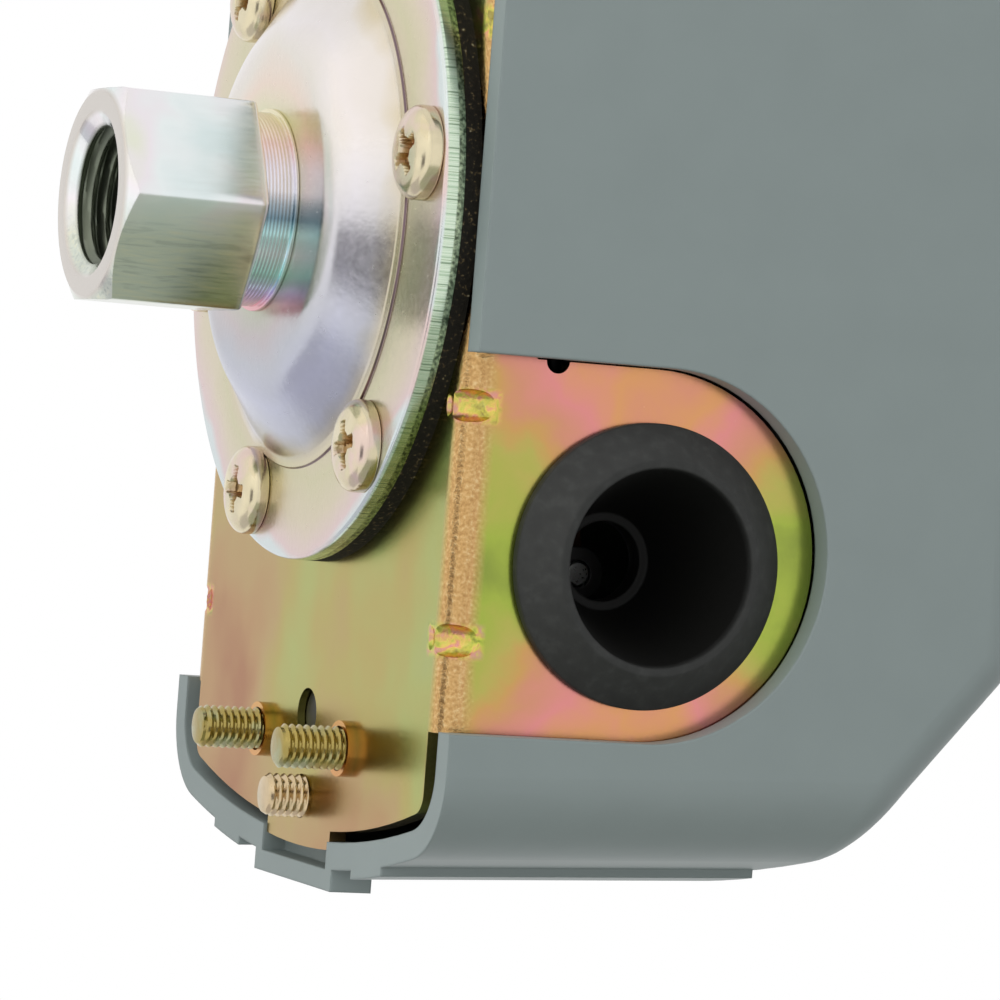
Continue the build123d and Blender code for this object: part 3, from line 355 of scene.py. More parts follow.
def fitting_grid(s):
    """The port fitting, row by row round Z: radius and height at every angle.

    The face's cone runs out to each angle's hexagon radius h, so it ends at the height
    (h - face) * chamfer / (corner - face), and the flats start there. Across the back face the
    hexagon shrinks to the neck's circle. In the port the radius is
    r + t * (wave(z / pitch - a / 2 pi) - 1 / 2).
    """
    neck, long = s.neck_radius, s.hex_length
    top = long + s.neck_length
    corner = s.across_flats / np.sqrt(3)
    face = s.across_flats / 2 - s.face_margin
    # columns stand closer together at the corners
    side = np.linspace(-1, 1, 41)[:-1]
    flat = (side + 0.82 * np.sin(pi * side) / pi + 1) * pi / 6
    angles = (np.arange(6)[:, None] * pi / 3 + flat).ravel()[None, :]
    hexed = soft_min(hexagon(angles, s.across_flats), corner - s.edge_rounding / 8, s.edge_rounding)
    share = np.linspace(0, 1, 9)[1:, None]
    meet = (hexed - face) * s.chamfer / (corner - face)
    front = rounded(
        [(s.thread_radius, s.mouth_depth), (s.mouth_radius, 0), (face, 0),
         (face + s.chamfer, s.chamfer / 2)],
        (0, 0.12 * MM, 0.1 * MM, 0),
    )[:-1]
    back = rounded(
        [(corner, long - s.edge_rounding * 2), (corner, long), (neck, long),
         (neck, long + 0.2 * MM)],
        (0, s.edge_rounding, 0.1 * MM, 0),
    )
    lip = top - s.lip
    cuts = np.arange(long + 0.25 * MM, lip - 0.05 * MM, s.groove_pitch / 6)[:, None]
    grooves = neck - s.groove_depth * np.abs((cuts / s.groove_pitch % 1) * 2 - 1)
    under = top + s.clinch_grip
    tail = rounded(
        [(neck, lip - 0.02 * MM), (neck, lip), (neck + s.lip, lip), (neck + s.lip, top),
         (s.hole_radius, top), (s.hole_radius, under), (s.clinch_radius, under),
         (s.hole_radius, under + s.clinch), (s.inlet_radius, under + s.clinch),
         (s.inlet_radius, s.thread_depth + 1.5 * MM), (s.thread_radius, s.thread_depth)],
        (0, 0.01 * MM, 0.12 * MM, 0.12 * MM, 0.02 * MM, 0.02 * MM, 0.1 * MM, 0.1 * MM, 0.2 * MM,
         0.2 * MM, 0),
        4,
    )
    turns = np.arange(s.thread_depth, s.mouth_depth, -s.thread_pitch / 9)[:, None]
    fade = smooth_step(0, 1 * MM, s.thread_depth - turns) * smooth_step(0.6 * MM, 2 * MM, turns)
    helix = s.thread_height * (wave(turns / s.thread_pitch - angles / (2 * pi)) - 0.5) * fade
    level = 0 * angles
    radius = np.concatenate([
        front[:, :1] + level, face + (hexed - face) * share, hexed + 0 * share,
        neck + (back[:, :1] - neck) * (hexed - neck) / (corner - neck), grooves + level,
        tail[:, :1] + level, s.thread_radius + helix,
    ])
    height = np.concatenate([
        front[:, 1:] + level, meet * share,
        meet + (long - s.edge_rounding * 2 - meet) * share * 0.98, back[:, 1:] + level,
        cuts + level, tail[:, 1:] + level, turns + level,
    ])
    return np.stack([radius * np.cos(angles), radius * np.sin(angles), height], -1)


def flange_profile(s):
    """The flange's closed profile: its lower face out to the rim, and back a sheet higher."""
    level = s.bottom - s.bead_height
    steps = 12
    lower = rounded(
        [(s.hole_radius, s.dome_low), (s.top_radius, s.dome_low),
         (s.bead_radius - s.bead_width, level), (s.bead_radius - 0.1 * MM, level),
         (s.bead_radius, s.bottom), (s.radius, s.bottom), (s.radius, s.bottom + s.sheet),
         (s.bead_radius, s.bottom + s.sheet)],
        (0, s.top_rounding, 0.7 * MM, 0.06 * MM, 0.12 * MM, s.lip_rounding, 0.05 * MM, 0),
        steps,
    )
    return np.concatenate([lower, lower[2 * steps :: -1] + (0, s.sheet)])


def cross_recess(r, angles, s):
    """Depth of a cross recess at (r, a).

    With p along a wing and q across it, the floor rises with p inside walls at the reach and at
    half the width. A round core is sunk in the middle.
    """
    x, y = np.abs(r * np.cos(angles)), np.abs(r * np.sin(angles))
    p, q = np.maximum(x, y), np.minimum(x, y)
    half = s.recess_width / 2
    wing = 1 - smooth_step(0.8 * half, 1.25 * half, q)
    wing = wing * (1 - smooth_step(0.9, 1.0, p / s.recess_reach))
    core = 1 - smooth_step(0.35 * s.recess_reach, 0.58 * s.recess_reach, r)
    return s.recess_depth * np.maximum(wing * (1 - 0.5 * p / s.recess_reach), core)


def screw_grid(s, head_radius, head_height, shank, point=0.35 * MM, columns=96, rounding=None):
    """A cross-recessed screw on +Z, its head's seat at 0, and its recess depth at each point.

    The crown is z = h - r^2 / 2 R less the recess, and an elliptic edge turns it into the side. The
    shank's radius is r - 0.45 pitch * (1 - wave(z / pitch + a / 2 pi)), and it ends in a point.
    """
    fall = rounding or s.head_rounding
    angles = np.linspace(0, 2 * pi, columns, endpoint=False)[None, :]
    face = head_radius - 0.85 * fall
    inner = np.linspace(0, 1.12 * s.recess_reach, 36)[:, None]
    top = np.concatenate([inner, head_height - inner**2 / 2 / s.crown_radius], 1)
    brow = head_height - face**2 / 2 / s.crown_radius
    # the edge starts 26 degrees steeper than the crown
    first = radians(26)
    swing = np.linspace(first, pi / 2, 12)[:, None]
    edge = np.concatenate([
        face + (head_radius - face) * (np.sin(swing) - np.sin(first)) / (1 - np.sin(first)),
        brow - (fall + brow - head_height) * (1 - np.cos(swing) / np.cos(first)),
    ], 1)
    seat = rounded(
        [(head_radius, (head_height - fall) / 2), (head_radius, 0), (s.shank_radius, 0),
         (s.shank_radius, -0.3 * MM)],
        (0, 0.22 * MM, 0.1 * MM, 0),
        5,
    )
    outer = np.concatenate([edge, seat])
    turns = -np.arange(0.35 * MM, shank - point, s.pitch / 7)[:, None]
    thread = np.concatenate([0 * turns + s.shank_radius, turns], 1)
    root = s.shank_radius - 0.55 * s.pitch
    bevel = [root + 0.05 * MM, -shank + 0.06 * MM]
    end = np.array([bevel, [root - 0.15 * MM, -shank], [0, -shank]])
    profile = np.concatenate([top, outer, thread, end])
    r, z = profile[:, :1], profile[:, 1:]
    row = np.arange(len(profile))[:, None]
    in_top = row < len(top)
    in_thread = (row >= len(top) + len(outer)) & (row < len(profile) - len(end))
    depth = np.where(in_top, cross_recess(r, angles, s), 0)
    cut = 0.45 * s.pitch * (1 - wave(z / s.pitch + angles / (2 * pi)))
    runout = smooth_step(0, 1.2 * s.pitch, -z - 0.35 * MM)
    worn = np.minimum(r - cut * runout, root + 0.1 * MM + (z + shank) * 1.2)
    radius = np.where(in_thread, worn, r + 0 * angles)
    grid = np.stack([radius * np.cos(angles), radius * np.sin(angles), z - depth], -1)
    return grid, depth / s.recess_depth


def placed(grid, x, y, z, turn, down=False):
    """A grid turned about Z, tipped over to point down if asked, and moved to (x, y, z)."""
    tip = Matrix.Rotation(pi, 4, "X") if down else Matrix.Identity(4)
    m = np.array(Matrix.Translation((x, y, z)) @ tip @ Matrix.Rotation(turn, 4, "Z"))
    return grid @ m[:3, :3].T + m[:3, 3]


def rod_grid(radius, bottom, top, pitch, head_radius=0.0, head_height=0.0, columns=40):
    """A stud with a flat head: its radius is r - 0.6 pitch * (1 - wave(z / pitch - a / 2 pi))."""
    angles = np.linspace(0, 2 * pi, columns, endpoint=False)[None, :]
    foot = rounded(
        [(0, bottom - head_height), (head_radius, bottom - head_height), (head_radius, bottom),
         (radius, bottom), (radius, bottom + 2.0 * MM)],
        (0, 0.2 * MM, 0.2 * MM, 0.1 * MM, 0),
        4,
    )
    turns = np.arange(bottom + 2.05 * MM, top - 0.05 * MM, pitch / 7)[:, None]
    thread = np.concatenate([0 * turns + radius, turns], 1)
    end = np.array([[radius - 0.7 * pitch, top], [0, top]])
    profile = np.concatenate([foot, thread, end])
    r, z = profile[:, :1], profile[:, 1:]
    row = np.arange(len(profile))[:, None]
    in_thread = (row >= len(foot)) & (row < len(profile) - len(end))
    cut = 0.6 * pitch * (1 - wave(z / pitch - angles / (2 * pi)))
    worn = np.minimum(r - cut, radius - 0.65 * pitch + (top - z))
    radius_now = np.where(in_thread, worn, r + 0 * angles)
    return np.stack([radius_now * np.cos(angles), radius_now * np.sin(angles), z + 0 * angles], -1)


def spring_grid(x, y, bottom, height, radius, wire, turns):
    """A compression spring: the wire's circle along (R cos a, R sin a, z), a = 2 pi turns t.

    z rises a wire a turn, and what is left of the height is shared over the open turns between the
    closed ends. The first and the last circle shrink to a point.
    """
    rows = int(turns * 40)
    t = np.linspace(0, 1, rows)[:, None]
    slope = smooth_step(0, 1.6 / turns, t) * smooth_step(0, 1.6 / turns, 1 - t)
    climb = np.cumsum(slope, 0) / slope.sum()
    z = bottom + wire / 2 + wire * turns * t + (height - wire - wire * turns) * climb
    capped = np.r_[0, np.arange(rows), rows - 1]
    t, z = t[capped], z[capped]
    full = np.ones_like(t)
    full[[0, -1]] = 0
    a = 2 * pi * turns * t
    ring = np.linspace(0, 2 * pi, 14, endpoint=False)[None, :]
    r = radius + wire / 2 * np.cos(ring) * full
    return np.stack([x + r * np.cos(a), y + r * np.sin(a), z + wire / 2 * np.sin(ring) * full], -1)


# ---- materials ------------------------------------------------------------------------------

# the sockets of a Mix node that mixes colours
FACTOR, FIRST, SECOND = 0, 6, 7


def feed(node, inputs):
    """Fills inputs: a node gives its first output in use, and a hex code is a colour."""
    for name, value in inputs.items():
        if isinstance(value, bpy.types.Node):
            value = next(out for out in value.outputs if out.enabled)
        if isinstance(value, bpy.types.NodeSocket):
            node.id_data.links.new(value, node.inputs[name])
        else:
            node.inputs[name].default_value = linear(value) if isinstance(value, str) else value


def add_node(tree, kind, inputs=None, stops=(), **settings):
    """Adds one node with its inputs, its settings and, on a ramp, the stops' colours."""
    made = tree.nodes.new("ShaderNode" + kind)
    for name, value in settings.items():
        setattr(made, name, value)
    feed(made, inputs or {})
    for _ in stops[2:]:
        made.color_ramp.elements.new(1.0)
    for element, (place, tone) in zip(made.color_ramp.elements if stops else (), stops):
        element.position = place
        element.color = linear(tone) if isinstance(tone, str) else tone
    return made


def started(name, **constants):
    """A new material, a way to add nodes to it, its shader and its Object coordinates."""
    made = bpy.data.materials.new(name)
    made.use_nodes = True
    add = partial(add_node, made.node_tree)
    shader = made.node_tree.nodes["Principled BSDF"]
    feed(shader, {key.replace("_", " "): value for key, value in constants.items()})
    return made, add, shader, add("TexCoord").outputs["Object"]


def shade(base, factor):
    """A colour with its channels multiplied, none above 1."""
    return (*(min(channel * factor, 1.0) for channel in tuple(base)[:3]), 1.0)


def off_axis(add, place, centre, across):
    """The way from an axis to each place: the place less the centre, across the axis only."""
    off = add("VectorMath", {0: place, 1: centre}, operation="SUBTRACT")
    return add("VectorMath", {0: off, 1: across}, operation="MULTIPLY")


def grained(add, shader, place, size, strength, depth, rough=None, bevel=None, samples=4):
    """A fine grain in the gloss and the bump, over softened edges if a bevel is given."""
    grain = add("TexNoise", {"Vector": place, "Scale": 1 / size, "Detail": 3.0})
    bump = {"Height": grain, "Strength": strength, "Distance": depth}
    if rough:
        gloss = add("MapRange", {"Value": grain, "To Min": rough[0], "To Max": rough[1]})
        feed(shader, {"Roughness": gloss})
    if bevel:
        bump["Normal"] = add("Bevel", {"Radius": bevel}, samples=samples)
    feed(shader, {"Normal": add("Bump", bump)})


def turned_zinc(f, s):
    """Bright zinc plate on turned hexagon bar: pale silver, a faint film and drawing marks.

    The neck's tinted bands are painted reflection; the underside and thread are painted shade.
    """
    made, add, shader, place = started("Zinc_plated_turned_bar", Metallic=1.0)
    split = add("SeparateXYZ", {"Vector": place}).outputs
    # film colours drift over about 9 mm
    film = add("TexNoise", {"Vector": place, "Scale": 1 / (9 * MM), "Detail": 2.0})
    tint = add(
        "ValToRGB", {"Fac": film},
        [(0.30, "#DAE6E6"), (0.45, tuple(f.fitting_zinc)), (0.55, "#EAE4E8"), (0.70, "#E2E4D2")],
    )
    # drawing marks 0.4 mm wide and 3.5 mm long run the length of the bar
    scale = (1 / (0.4 * MM), 1 / (0.4 * MM), 1 / (3.5 * MM))
    along = add("Mapping", {"Vector": place, "Scale": scale})
    lines = add("TexNoise", {"Vector": along, "Scale": 1.0, "Detail": 4.0, "Distortion": 0.6})
    # the underside is painted greyer and darker as shade, with the bar's drawing streaks in it
    streaks_and_underside_shade = add(
        "ValToRGB", {"Fac": lines},
        [(0.36, "#BEC4BA"), (0.46, "#CCD2C8"), (0.6, "#D2D6C8"), (0.72, "#DAD9C6")],
    )
    # these bands follow the neck's height, so they are painted reflection over the plating's tints
    # from the neck's underside up: rose, lilac, sea green, steel blue, lilac white, rose, straw
    neck = s.neck_radius
    height = add("MapRange", {"Value": split["Y"], "From Min": -neck, "From Max": neck})
    neck_tints_and_reflection = add(
        "ValToRGB", {"Fac": height},
        [(0.0, "#E0A8AE"), (0.07, "#D4CCEC"), (0.16, "#CCFCFC"), (0.26, "#E8F6FF"),
         (0.36, "#B8DEDE"), (0.44, "#6E8A98"), (0.51, "#A0AEB8"), (0.58, "#E2E2EA"),
         (0.70, "#E6E0EA"), (0.82, "#E8D0CC"), (0.95, "#E6DDBB")],
    )
    # the underside, the greyer and pinker faced end, the neck, and the thread behind its mouth
    out = add("VectorMath", {0: off_axis(add, place, (0, 0, 0), (1, 1, 0))}, operation="LENGTH")
    under, faced, on_neck, inward, behind = (
        add("MapRange", {"Value": value, "From Min": low, "From Max": high})
        for value, low, high in (
            (split["Y"], -0.5 * MM, -4 * MM),
            (split["Z"], 0.3 * MM, 0.05 * MM),
            (split["Z"], s.hex_length - 0.3 * MM, s.hex_length),
            (out, s.thread_radius + 0.8 * MM, s.thread_radius + 0.5 * MM),
            (split["Z"], s.mouth_depth * 0.8, s.mouth_depth * 1.2),
        )
    )
    # the thread inside the port is painted darker: painted shade
    in_port = add("Math", {0: inward, 1: behind}, operation="MULTIPLY")
    for share, over in ((under, streaks_and_underside_shade), (faced, "#CEC8C2"), (on_neck, neck_tints_and_reflection), (in_port, "#7C8274")):
        tint = add("Mix", {FACTOR: share, FIRST: tint, SECOND: over}, data_type="RGBA")
    rough = add("MapRange", {"Value": lines, "To Min": 0.1, "To Max": 0.24})
    duller = add("Math", {0: in_port, 1: 0.2, 2: rough}, operation="MULTIPLY_ADD")
    edge = add("Bevel", {"Radius": 0.15 * MM}, samples=4)
    bump = {"Height": lines, "Strength": 0.12, "Distance": 0.01 * MM, "Normal": edge}
    feed(shader, {"Base Color": tint, "Roughness": duller, "Normal": add("Bump", bump)})
    return made


def pressed_zinc(f, s):
    """Clear chromate over zinc on a pressed disc: champagne silver, and a sheared edge.

    The film follows the rings of the draw.
    """
    made, add, shader, place = started("Zinc_plated_pressed_disc", Metallic=1.0)
    split = add("SeparateXYZ", {"Vector": place}).outputs
    out = add("VectorMath", {0: off_axis(add, place, (0, 0, 0), (1, 1, 0))}, operation="LENGTH")
    # the film's rings wander over patches of 12 mm
    patches = add("TexNoise", {"Vector": place, "Scale": 1 / (12 * MM), "Detail": 2.0})
    wander = add("MapRange", {"Value": patches, "To Min": -4 * MM, "To Max": 4 * MM}, clamp=False)
    ring = add("Math", {0: out, 1: wander}, operation="ADD")
    depth = add("Math", {0: ring, 1: s.radius}, operation="DIVIDE")
    film = add(
        "ValToRGB", {"Fac": depth},
        [(0.26, "#D8D6B4"), (0.36, "#E6D4C6"), (0.47, tuple(f.flange_zinc)), (0.58, "#E6E0E0"),
         (0.66, "#E0DAD6"), (0.71, "#D2C6AC"), (0.78, "#CEC8A6"), (0.88, "#D6CAB2"),
         (0.97, "#DCC6C4"), (1.0, "#D4DCDC")],
    )
    # bluer and darker on the lower half inside the bead: bluish film and painted reflection
    lower = add("MapRange", {"Value": split["Y"], "From Min": 6 * MM, "From Max": -12 * MM})
    drawn = add(
        "MapRange",
        {"Value": out, "From Min": 21.5 * MM, "From Max": 23 * MM, "To Min": 1.0, "To Max": 0.1},
    )
    share = add("Math", {0: lower, 1: drawn}, operation="MULTIPLY")
    bluer_film_and_reflection = {FACTOR: share, FIRST: film, SECOND: "#D0D8EC"}
    base = add("Mix", bluer_film_and_reflection, data_type="RGBA", blend_type="MULTIPLY")
    # shear marks, 760 round the edge, end two thirds of the way up at the darker break
    around = add("UVMap", uv_map="Wrap")
    ticks = add("Mapping", {"Vector": around, "Scale": (380.0, 0.0, 1.0)})
    marks = add("TexNoise", {"Vector": ticks, "Scale": 2.0, "Detail": 1.0})
    tick = add(
        "ValToRGB", {"Fac": marks},
        [(0.34, "#8A9E86"), (0.44, "#BCD2B8"), (0.56, "#DCEAD6"), (0.66, "#AEC2A6")],
    )
    broken = add("TexNoise", {"Vector": place, "Scale": 1 / (0.35 * MM), "Detail": 3.0})
    crumb = add(
        "ValToRGB", {"Fac": broken}, [(0.35, "#4E5A48"), (0.5, "#8A9A80"), (0.65, "#B4C4A4")]
    )
    # the break, the cut edge, and the bead's small step, painted as a dark line of shade
    up, edge, step, past = (
        add("MapRange", {"Value": value, "From Min": low, "From Max": high})
        for value, low, high in (
            (split["Z"], s.bottom + 0.62 * s.sheet, s.bottom + 0.7 * s.sheet),
            (out, s.radius - 0.12 * MM, s.radius - 0.03 * MM),
            (out, s.bead_radius - 0.12 * MM, s.bead_radius - 0.06 * MM),
            (out, s.bead_radius + 0.06 * MM, s.bead_radius + 0.01 * MM),
        )
    )
    sheared = add("Mix", {FACTOR: up, FIRST: tick, SECOND: crumb}, data_type="RGBA")
    bead_step_shade = add("Math", {0: step, 1: past}, operation="MULTIPLY")
    for share, over in ((bead_step_shade, "#7A666C"), (edge, sheared)):
        base = add("Mix", {FACTOR: share, FIRST: base, SECOND: over}, data_type="RGBA")
    grain = add("TexNoise", {"Vector": place, "Scale": 1 / (0.7 * MM), "Detail": 3.0})
    height = add("Mix", {0: edge, 2: grain, 3: marks})
    rough = add("MapRange", {"Value": grain, "To Min": 0.16, "To Max": 0.32})
    bump = add("Bump", {"Height": height, "Strength": 0.3, "Distance": 0.04 * MM})
    feed(shader, {"Base Color": base, "Roughness": rough, "Normal": bump})
    return made


def screw_zinc(name, base, film, recess):
    """Tinted zinc on a rolled screw: a smooth crown, and a recess painted darker as shade."""
    made, add, shader, place = started(name, Metallic=1.0)
    recess_shade = add("Attribute", attribute_name="recess").outputs["Fac"]
    patches = add("TexNoise", {"Vector": place, "Scale": 1 / (3 * MM), "Detail": 2.0})
    drift = add(
        "ValToRGB", {"Fac": patches}, [(0.35, tuple(base)), (0.5, shade(base, 0.9)), (0.65, film)]
    )
    # the recess's colour grows with its depth: painted shade
    mixed = add("Mix", {FACTOR: recess_shade, FIRST: drift, SECOND: recess}, data_type="RGBA")
    feed(shader, {"Base Color": mixed})
    grained(add, shader, place, 0.3 * MM, 0.2, 0.01 * MM, rough=(0.12, 0.26))
    return made


def chromate_sheet(base, p):
    """Yellow chromate over zinc on bent sheet: olive gold with green, copper and rose films.

    An orange peel shows where the bend has stretched it.
    """
    made, add, shader, place = started("Yellow_chromate_bent_sheet", Metallic=1.0)
    split = add("SeparateXYZ", {"Vector": place}).outputs
    # the film drifts over 20 mm across the sheet and 26 mm along it
    scale = (1 / (20 * MM), 1 / (26 * MM), 1 / (16 * MM))
    along = add("Mapping", {"Vector": place, "Scale": scale})
    streaks = add("TexNoise", {"Vector": along, "Scale": 1.0, "Detail": 3.5})
    across = add(
        "MapRange",
        {"Value": split["X"], "From Min": -28 * MM, "From Max": 28 * MM, "To Min": 0.1,
         "To Max": -0.05},
    )
    toward_end = add(
        "MapRange",
        {"Value": split["Y"], "From Min": -60 * MM, "From Max": -20 * MM, "To Min": -0.27,
         "To Max": 0.05},
    )
    drift = add("Math", {0: across, 1: toward_end}, operation="ADD")
    depth = add("Math", {0: streaks, 1: drift}, operation="ADD")
    film = add(
        "ValToRGB", {"Fac": depth},
        [(0.16, "#A47048"), (0.28, "#B08858"), (0.38, "#B29660"), (0.48, tuple(base)),
         (0.60, "#A8AC60"), (0.72, "#A2AE74"), (0.84, "#B0A460")],
    )
    # on the wings the film turns about the cable entry: rose above and below it, green beside it
    entry = off_axis(add, place, (0, -p.entry_out, p.entry_height), (0, 1, 1))
    bearing = add("VectorMath", {0: entry}, operation="NORMALIZE")
    rise = add("SeparateXYZ", {"Vector": bearing}).outputs["Y"]
    twice = add("Math", {0: rise, 1: rise}, operation="MULTIPLY")
    blotch = {"Vector": place, "Scale": 1 / (8 * MM), "Detail": 5.0, "Distortion": 0.4}
    swirl = add("Math", {0: add("TexNoise", blotch), 1: 0.7, 2: twice}, operation="MULTIPLY_ADD")
    wing = add(
        "ValToRGB", {"Fac": add("Math", {0: swirl, 1: 0.6}, operation="MULTIPLY")},
        [(0.12, "#7E8C44"), (0.26, "#A0B04C"), (0.38, "#B4AC5C"), (0.46, "#C89C60"),
         (0.54, "#CE9074"), (0.66, "#DA8C88"), (0.78, "#D69A68"), (0.90, "#D49078")],
    )
    # zones in mm: the wing, the bend's two sides, under a collar, and a dart's two ends
    side = add("Math", {0: split["X"]}, operation="ABSOLUTE")
    on_wing, past, above, below, outward, low = (
        add("MapRange", {"Value": value, "From Min": start * MM, "From Max": end * MM})
        for value, start, end in (
            (side, 29.6, 31.2), (side, 28.8, 30), (split["Z"], 27.8, 26.6),
            (split["Z"], 24.7, 23.4), (side, 27.2, 27.8), (split["Z"], 28.4, 27.8),
        )
    )
    # the bend is browner, with an orange peel 0.3 mm across
    bent = add("Math", {0: past, 1: above}, operation="MULTIPLY")
    peel = add("TexNoise", {"Vector": place, "Scale": 1 / (0.32 * MM), "Detail": 2.0})
    stretched = add(
        "ValToRGB", {"Fac": peel},
        [(0.30, "#B28A58"), (0.45, "#C29A64"), (0.58, "#CCA670"), (0.72, "#D8BA88")],
    )
    # round the drawn collars of the ground screws an orange is painted: painted reflection
    folded = add("VectorMath", {0: place}, operation="ABSOLUTE")
    collar = off_axis(add, folded, (p.ground_side, p.ground_out, 0), (1, 1, 0))
    gap = add("VectorMath", {0: collar}, operation="LENGTH")
    near = add(
        "MapRange", {"Value": gap, "From Min": 4.4 * MM, "From Max": 3.2 * MM, "To Max": 0.7}
    )
    collar_reflection = add("Math", {0: near, 1: below}, operation="MULTIPLY")
    # the darts across the bend are green, straw and rose, and stand either side of their middle
    ahead = add("SeparateXYZ", {"Vector": folded}).outputs["Y"]
    off = add("Math", {0: ahead, 1: p.dart_middle}, operation="SUBTRACT")
    apart = add("Math", {0: off}, operation="ABSOLUTE")
    from_dart = add("Math", {0: apart, 1: p.dart_spread}, operation="SUBTRACT")
    beside = add("Math", {0: from_dart}, operation="ABSOLUTE")
    on_dart = add(
        "MapRange", {"Value": beside, "From Min": 1.7 * MM, "From Max": 1.1 * MM, "To Max": 0.6}
    )
    for zone in (outward, low):
        on_dart = add("Math", {0: on_dart, 1: zone}, operation="MULTIPLY")
    folds = {"Vector": place, "Scale": 1 / (1.1 * MM), "Detail": 2.0, "Distortion": 0.5}
    pinched = add(
        "ValToRGB", {"Fac": add("TexNoise", folds)},
        [(0.32, "#7E8C3C"), (0.42, "#C2CC50"), (0.50, "#E8D068"), (0.58, "#E8A080"),
         (0.66, "#E08CA0"), (0.76, "#D8C860")],
    )
    for share, over in (
        (on_wing, wing), (bent, stretched), (collar_reflection, "#F0A050"), (on_dart, pinched)
    ):
        film = add("Mix", {FACTOR: share, FIRST: film, SECOND: over}, data_type="RGBA")
    rough = add("MapRange", {"Value": peel, "To Min": 0.18, "To Max": 0.3})
    strength = add("MapRange", {"Value": bent, "To Min": 0.08, "To Max": 1.0})
    bump = add("Bump", {"Height": peel, "Strength": strength, "Distance": 0.03 * MM})
    feed(shader, {"Base Color": film, "Roughness": rough, "Normal": bump})
    return made


def plain_metal(name, base, low, high, grain):
    """Plated or rolled metal for the small parts: a drifting base and a grain in the gloss."""
    made, add, shader, place = started(name, Metallic=1.0)
    patches = add("TexNoise", {"Vector": place, "Scale": 1 / (5 * MM), "Detail": 2.0})
    stops = [(0.3, shade(base, 0.9)), (0.6, shade(base, 1.05))]
    feed(shader, {"Base Color": add("ValToRGB", {"Fac": patches}, stops)})
    grained(add, shader, place, grain, 0.2, 0.01 * MM, rough=(low, high), bevel=0.12 * MM)
    return made


def moulded(name, base, spread, roughness, grain, depth, bevel):
    """Moulded plastic: one colour with a slight mottle, a fine mould texture and softened edges."""
    made, add, shader, place = started(name, Roughness=roughness)
    patches = add("TexNoise", {"Vector": place, "Scale": 1 / (6 * MM), "Detail": 4.0})
    stops = [(0.3, shade(base, 1 - spread)), (0.7, shade(base, 1 + spread))]
    feed(shader, {"Base Color": add("ValToRGB", {"Fac": patches}, stops)})
    grained(add, shader, place, grain, 0.3, depth, bevel=bevel, samples=6)
    return made


def diaphragm_rubber(base):
    """Cut nitrile sheet: nearly black, with pale and brown specks of filler and a crumbled edge."""
    made, add, shader, place = started(
        "Nitrile_rubber_sheet", Roughness=0.8, Specular_IOR_Level=0.25
    )
    specks = add("TexNoise", {"Vector": place, "Scale": 1 / (0.35 * MM), "Detail": 2.0})
    mottle = add(
        "ValToRGB", {"Fac": specks},
        [(0.45, tuple(base)), (0.60, shade(base, 1.8)), (0.70, "#4A3E28"), (0.80, "#8C8A74")],
    )
    bump = add("Bump", {"Height": specks, "Strength": 0.6, "Distance": 0.12 * MM})
    feed(shader, {"Base Color": mottle, "Normal": bump})
    return made


def grommet_rubber(base, p):
    """Moulded rubber: a charcoal lip with a dusty mottle, and a bore painted near-black as shade.
    """
    made, add, shader, place = started(
        "Moulded_rubber_charcoal", Roughness=0.6, Specular_IOR_Level=0.28
    )
    patches = add("TexNoise", {"Vector": place, "Scale": 1 / (1.2 * MM), "Detail": 5.0})
    dusty = add(
        "ValToRGB", {"Fac": patches},
        [(0.35, shade(base, 0.85)), (0.55, shade(base, 1.0)), (0.7, shade(base, 1.3))],
    )
    entry = off_axis(add, place, (0, -p.entry_out, p.entry_height), (0, 1, 1))
    out = add("VectorMath", {0: entry}, operation="LENGTH")
    on_lip = add("MapRange", {"Value": out, "From Min": 8.5 * MM, "From Max": 8.9 * MM})
    # inside the lip the bore is painted near-black: painted shade
    mixed = add("Mix", {FACTOR: on_lip, FIRST: "#040403", SECOND: dusty}, data_type="RGBA")
    feed(shader, {"Base Color": mixed})
    grained(add, shader, place, 0.35 * MM, 0.3, 0.03 * MM, bevel=0.4 * MM, samples=6)
    return made


def wear(material, *nodes):
    """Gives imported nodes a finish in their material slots."""
    for name in nodes:
        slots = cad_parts[name].data.materials
        slots.clear()
        slots.append(material)


def finish(piece, material, node, body="base"):
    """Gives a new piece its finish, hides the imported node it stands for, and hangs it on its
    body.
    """
    piece.data.materials.append(material)
    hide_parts(node)
    if body:
        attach(piece, body)


def set_screws(node, material, screw, places, seat, down=False):
    """Sets a screw's copies at each (x, y, turn), with the seat of the head at that height."""
    grid, depth = screw
    grids = [placed(grid, x, y, seat, turn, down) for x, y, turn in places]
    finish(make_mesh(node + "_rolled", grids, False, True, {"recess": depth}), material, node)


# ---- operators ------------------------------------------------------------------------------


class PortFitting(bpy.types.Operator):
    """Turns the hexagon port fitting with its threaded port and grooved neck"""

    bl_idname = "pressure_switch.port_fitting"
    bl_label = "Port fitting"

    def execute(self, context):
        f, s = context.scene.finishes, context.scene.fitting_sizes
        piece = make_mesh("fitting_turned", [fitting_grid(s)], True, True, crease=26)
        finish(piece, turned_zinc(f, s), "port_fitting")
        return {"FINISHED"}


class PressureFlange(bpy.types.Operator):
    """Presses the domed flange"""

    bl_idname = "pressure_switch.pressure_flange"
    bl_label = "Pressure flange"

    def execute(self, context):
        f, s = context.scene.finishes, context.scene.flange_sizes
        angles = np.linspace(0, 2 * pi, 320, endpoint=False)[None, :]
        piece = make_mesh("flange_pressed", [turned(flange_profile(s), angles)], True, True)
        finish(piece, pressed_zinc(f, s), "pressure_flange")
        return {"FINISHED"}


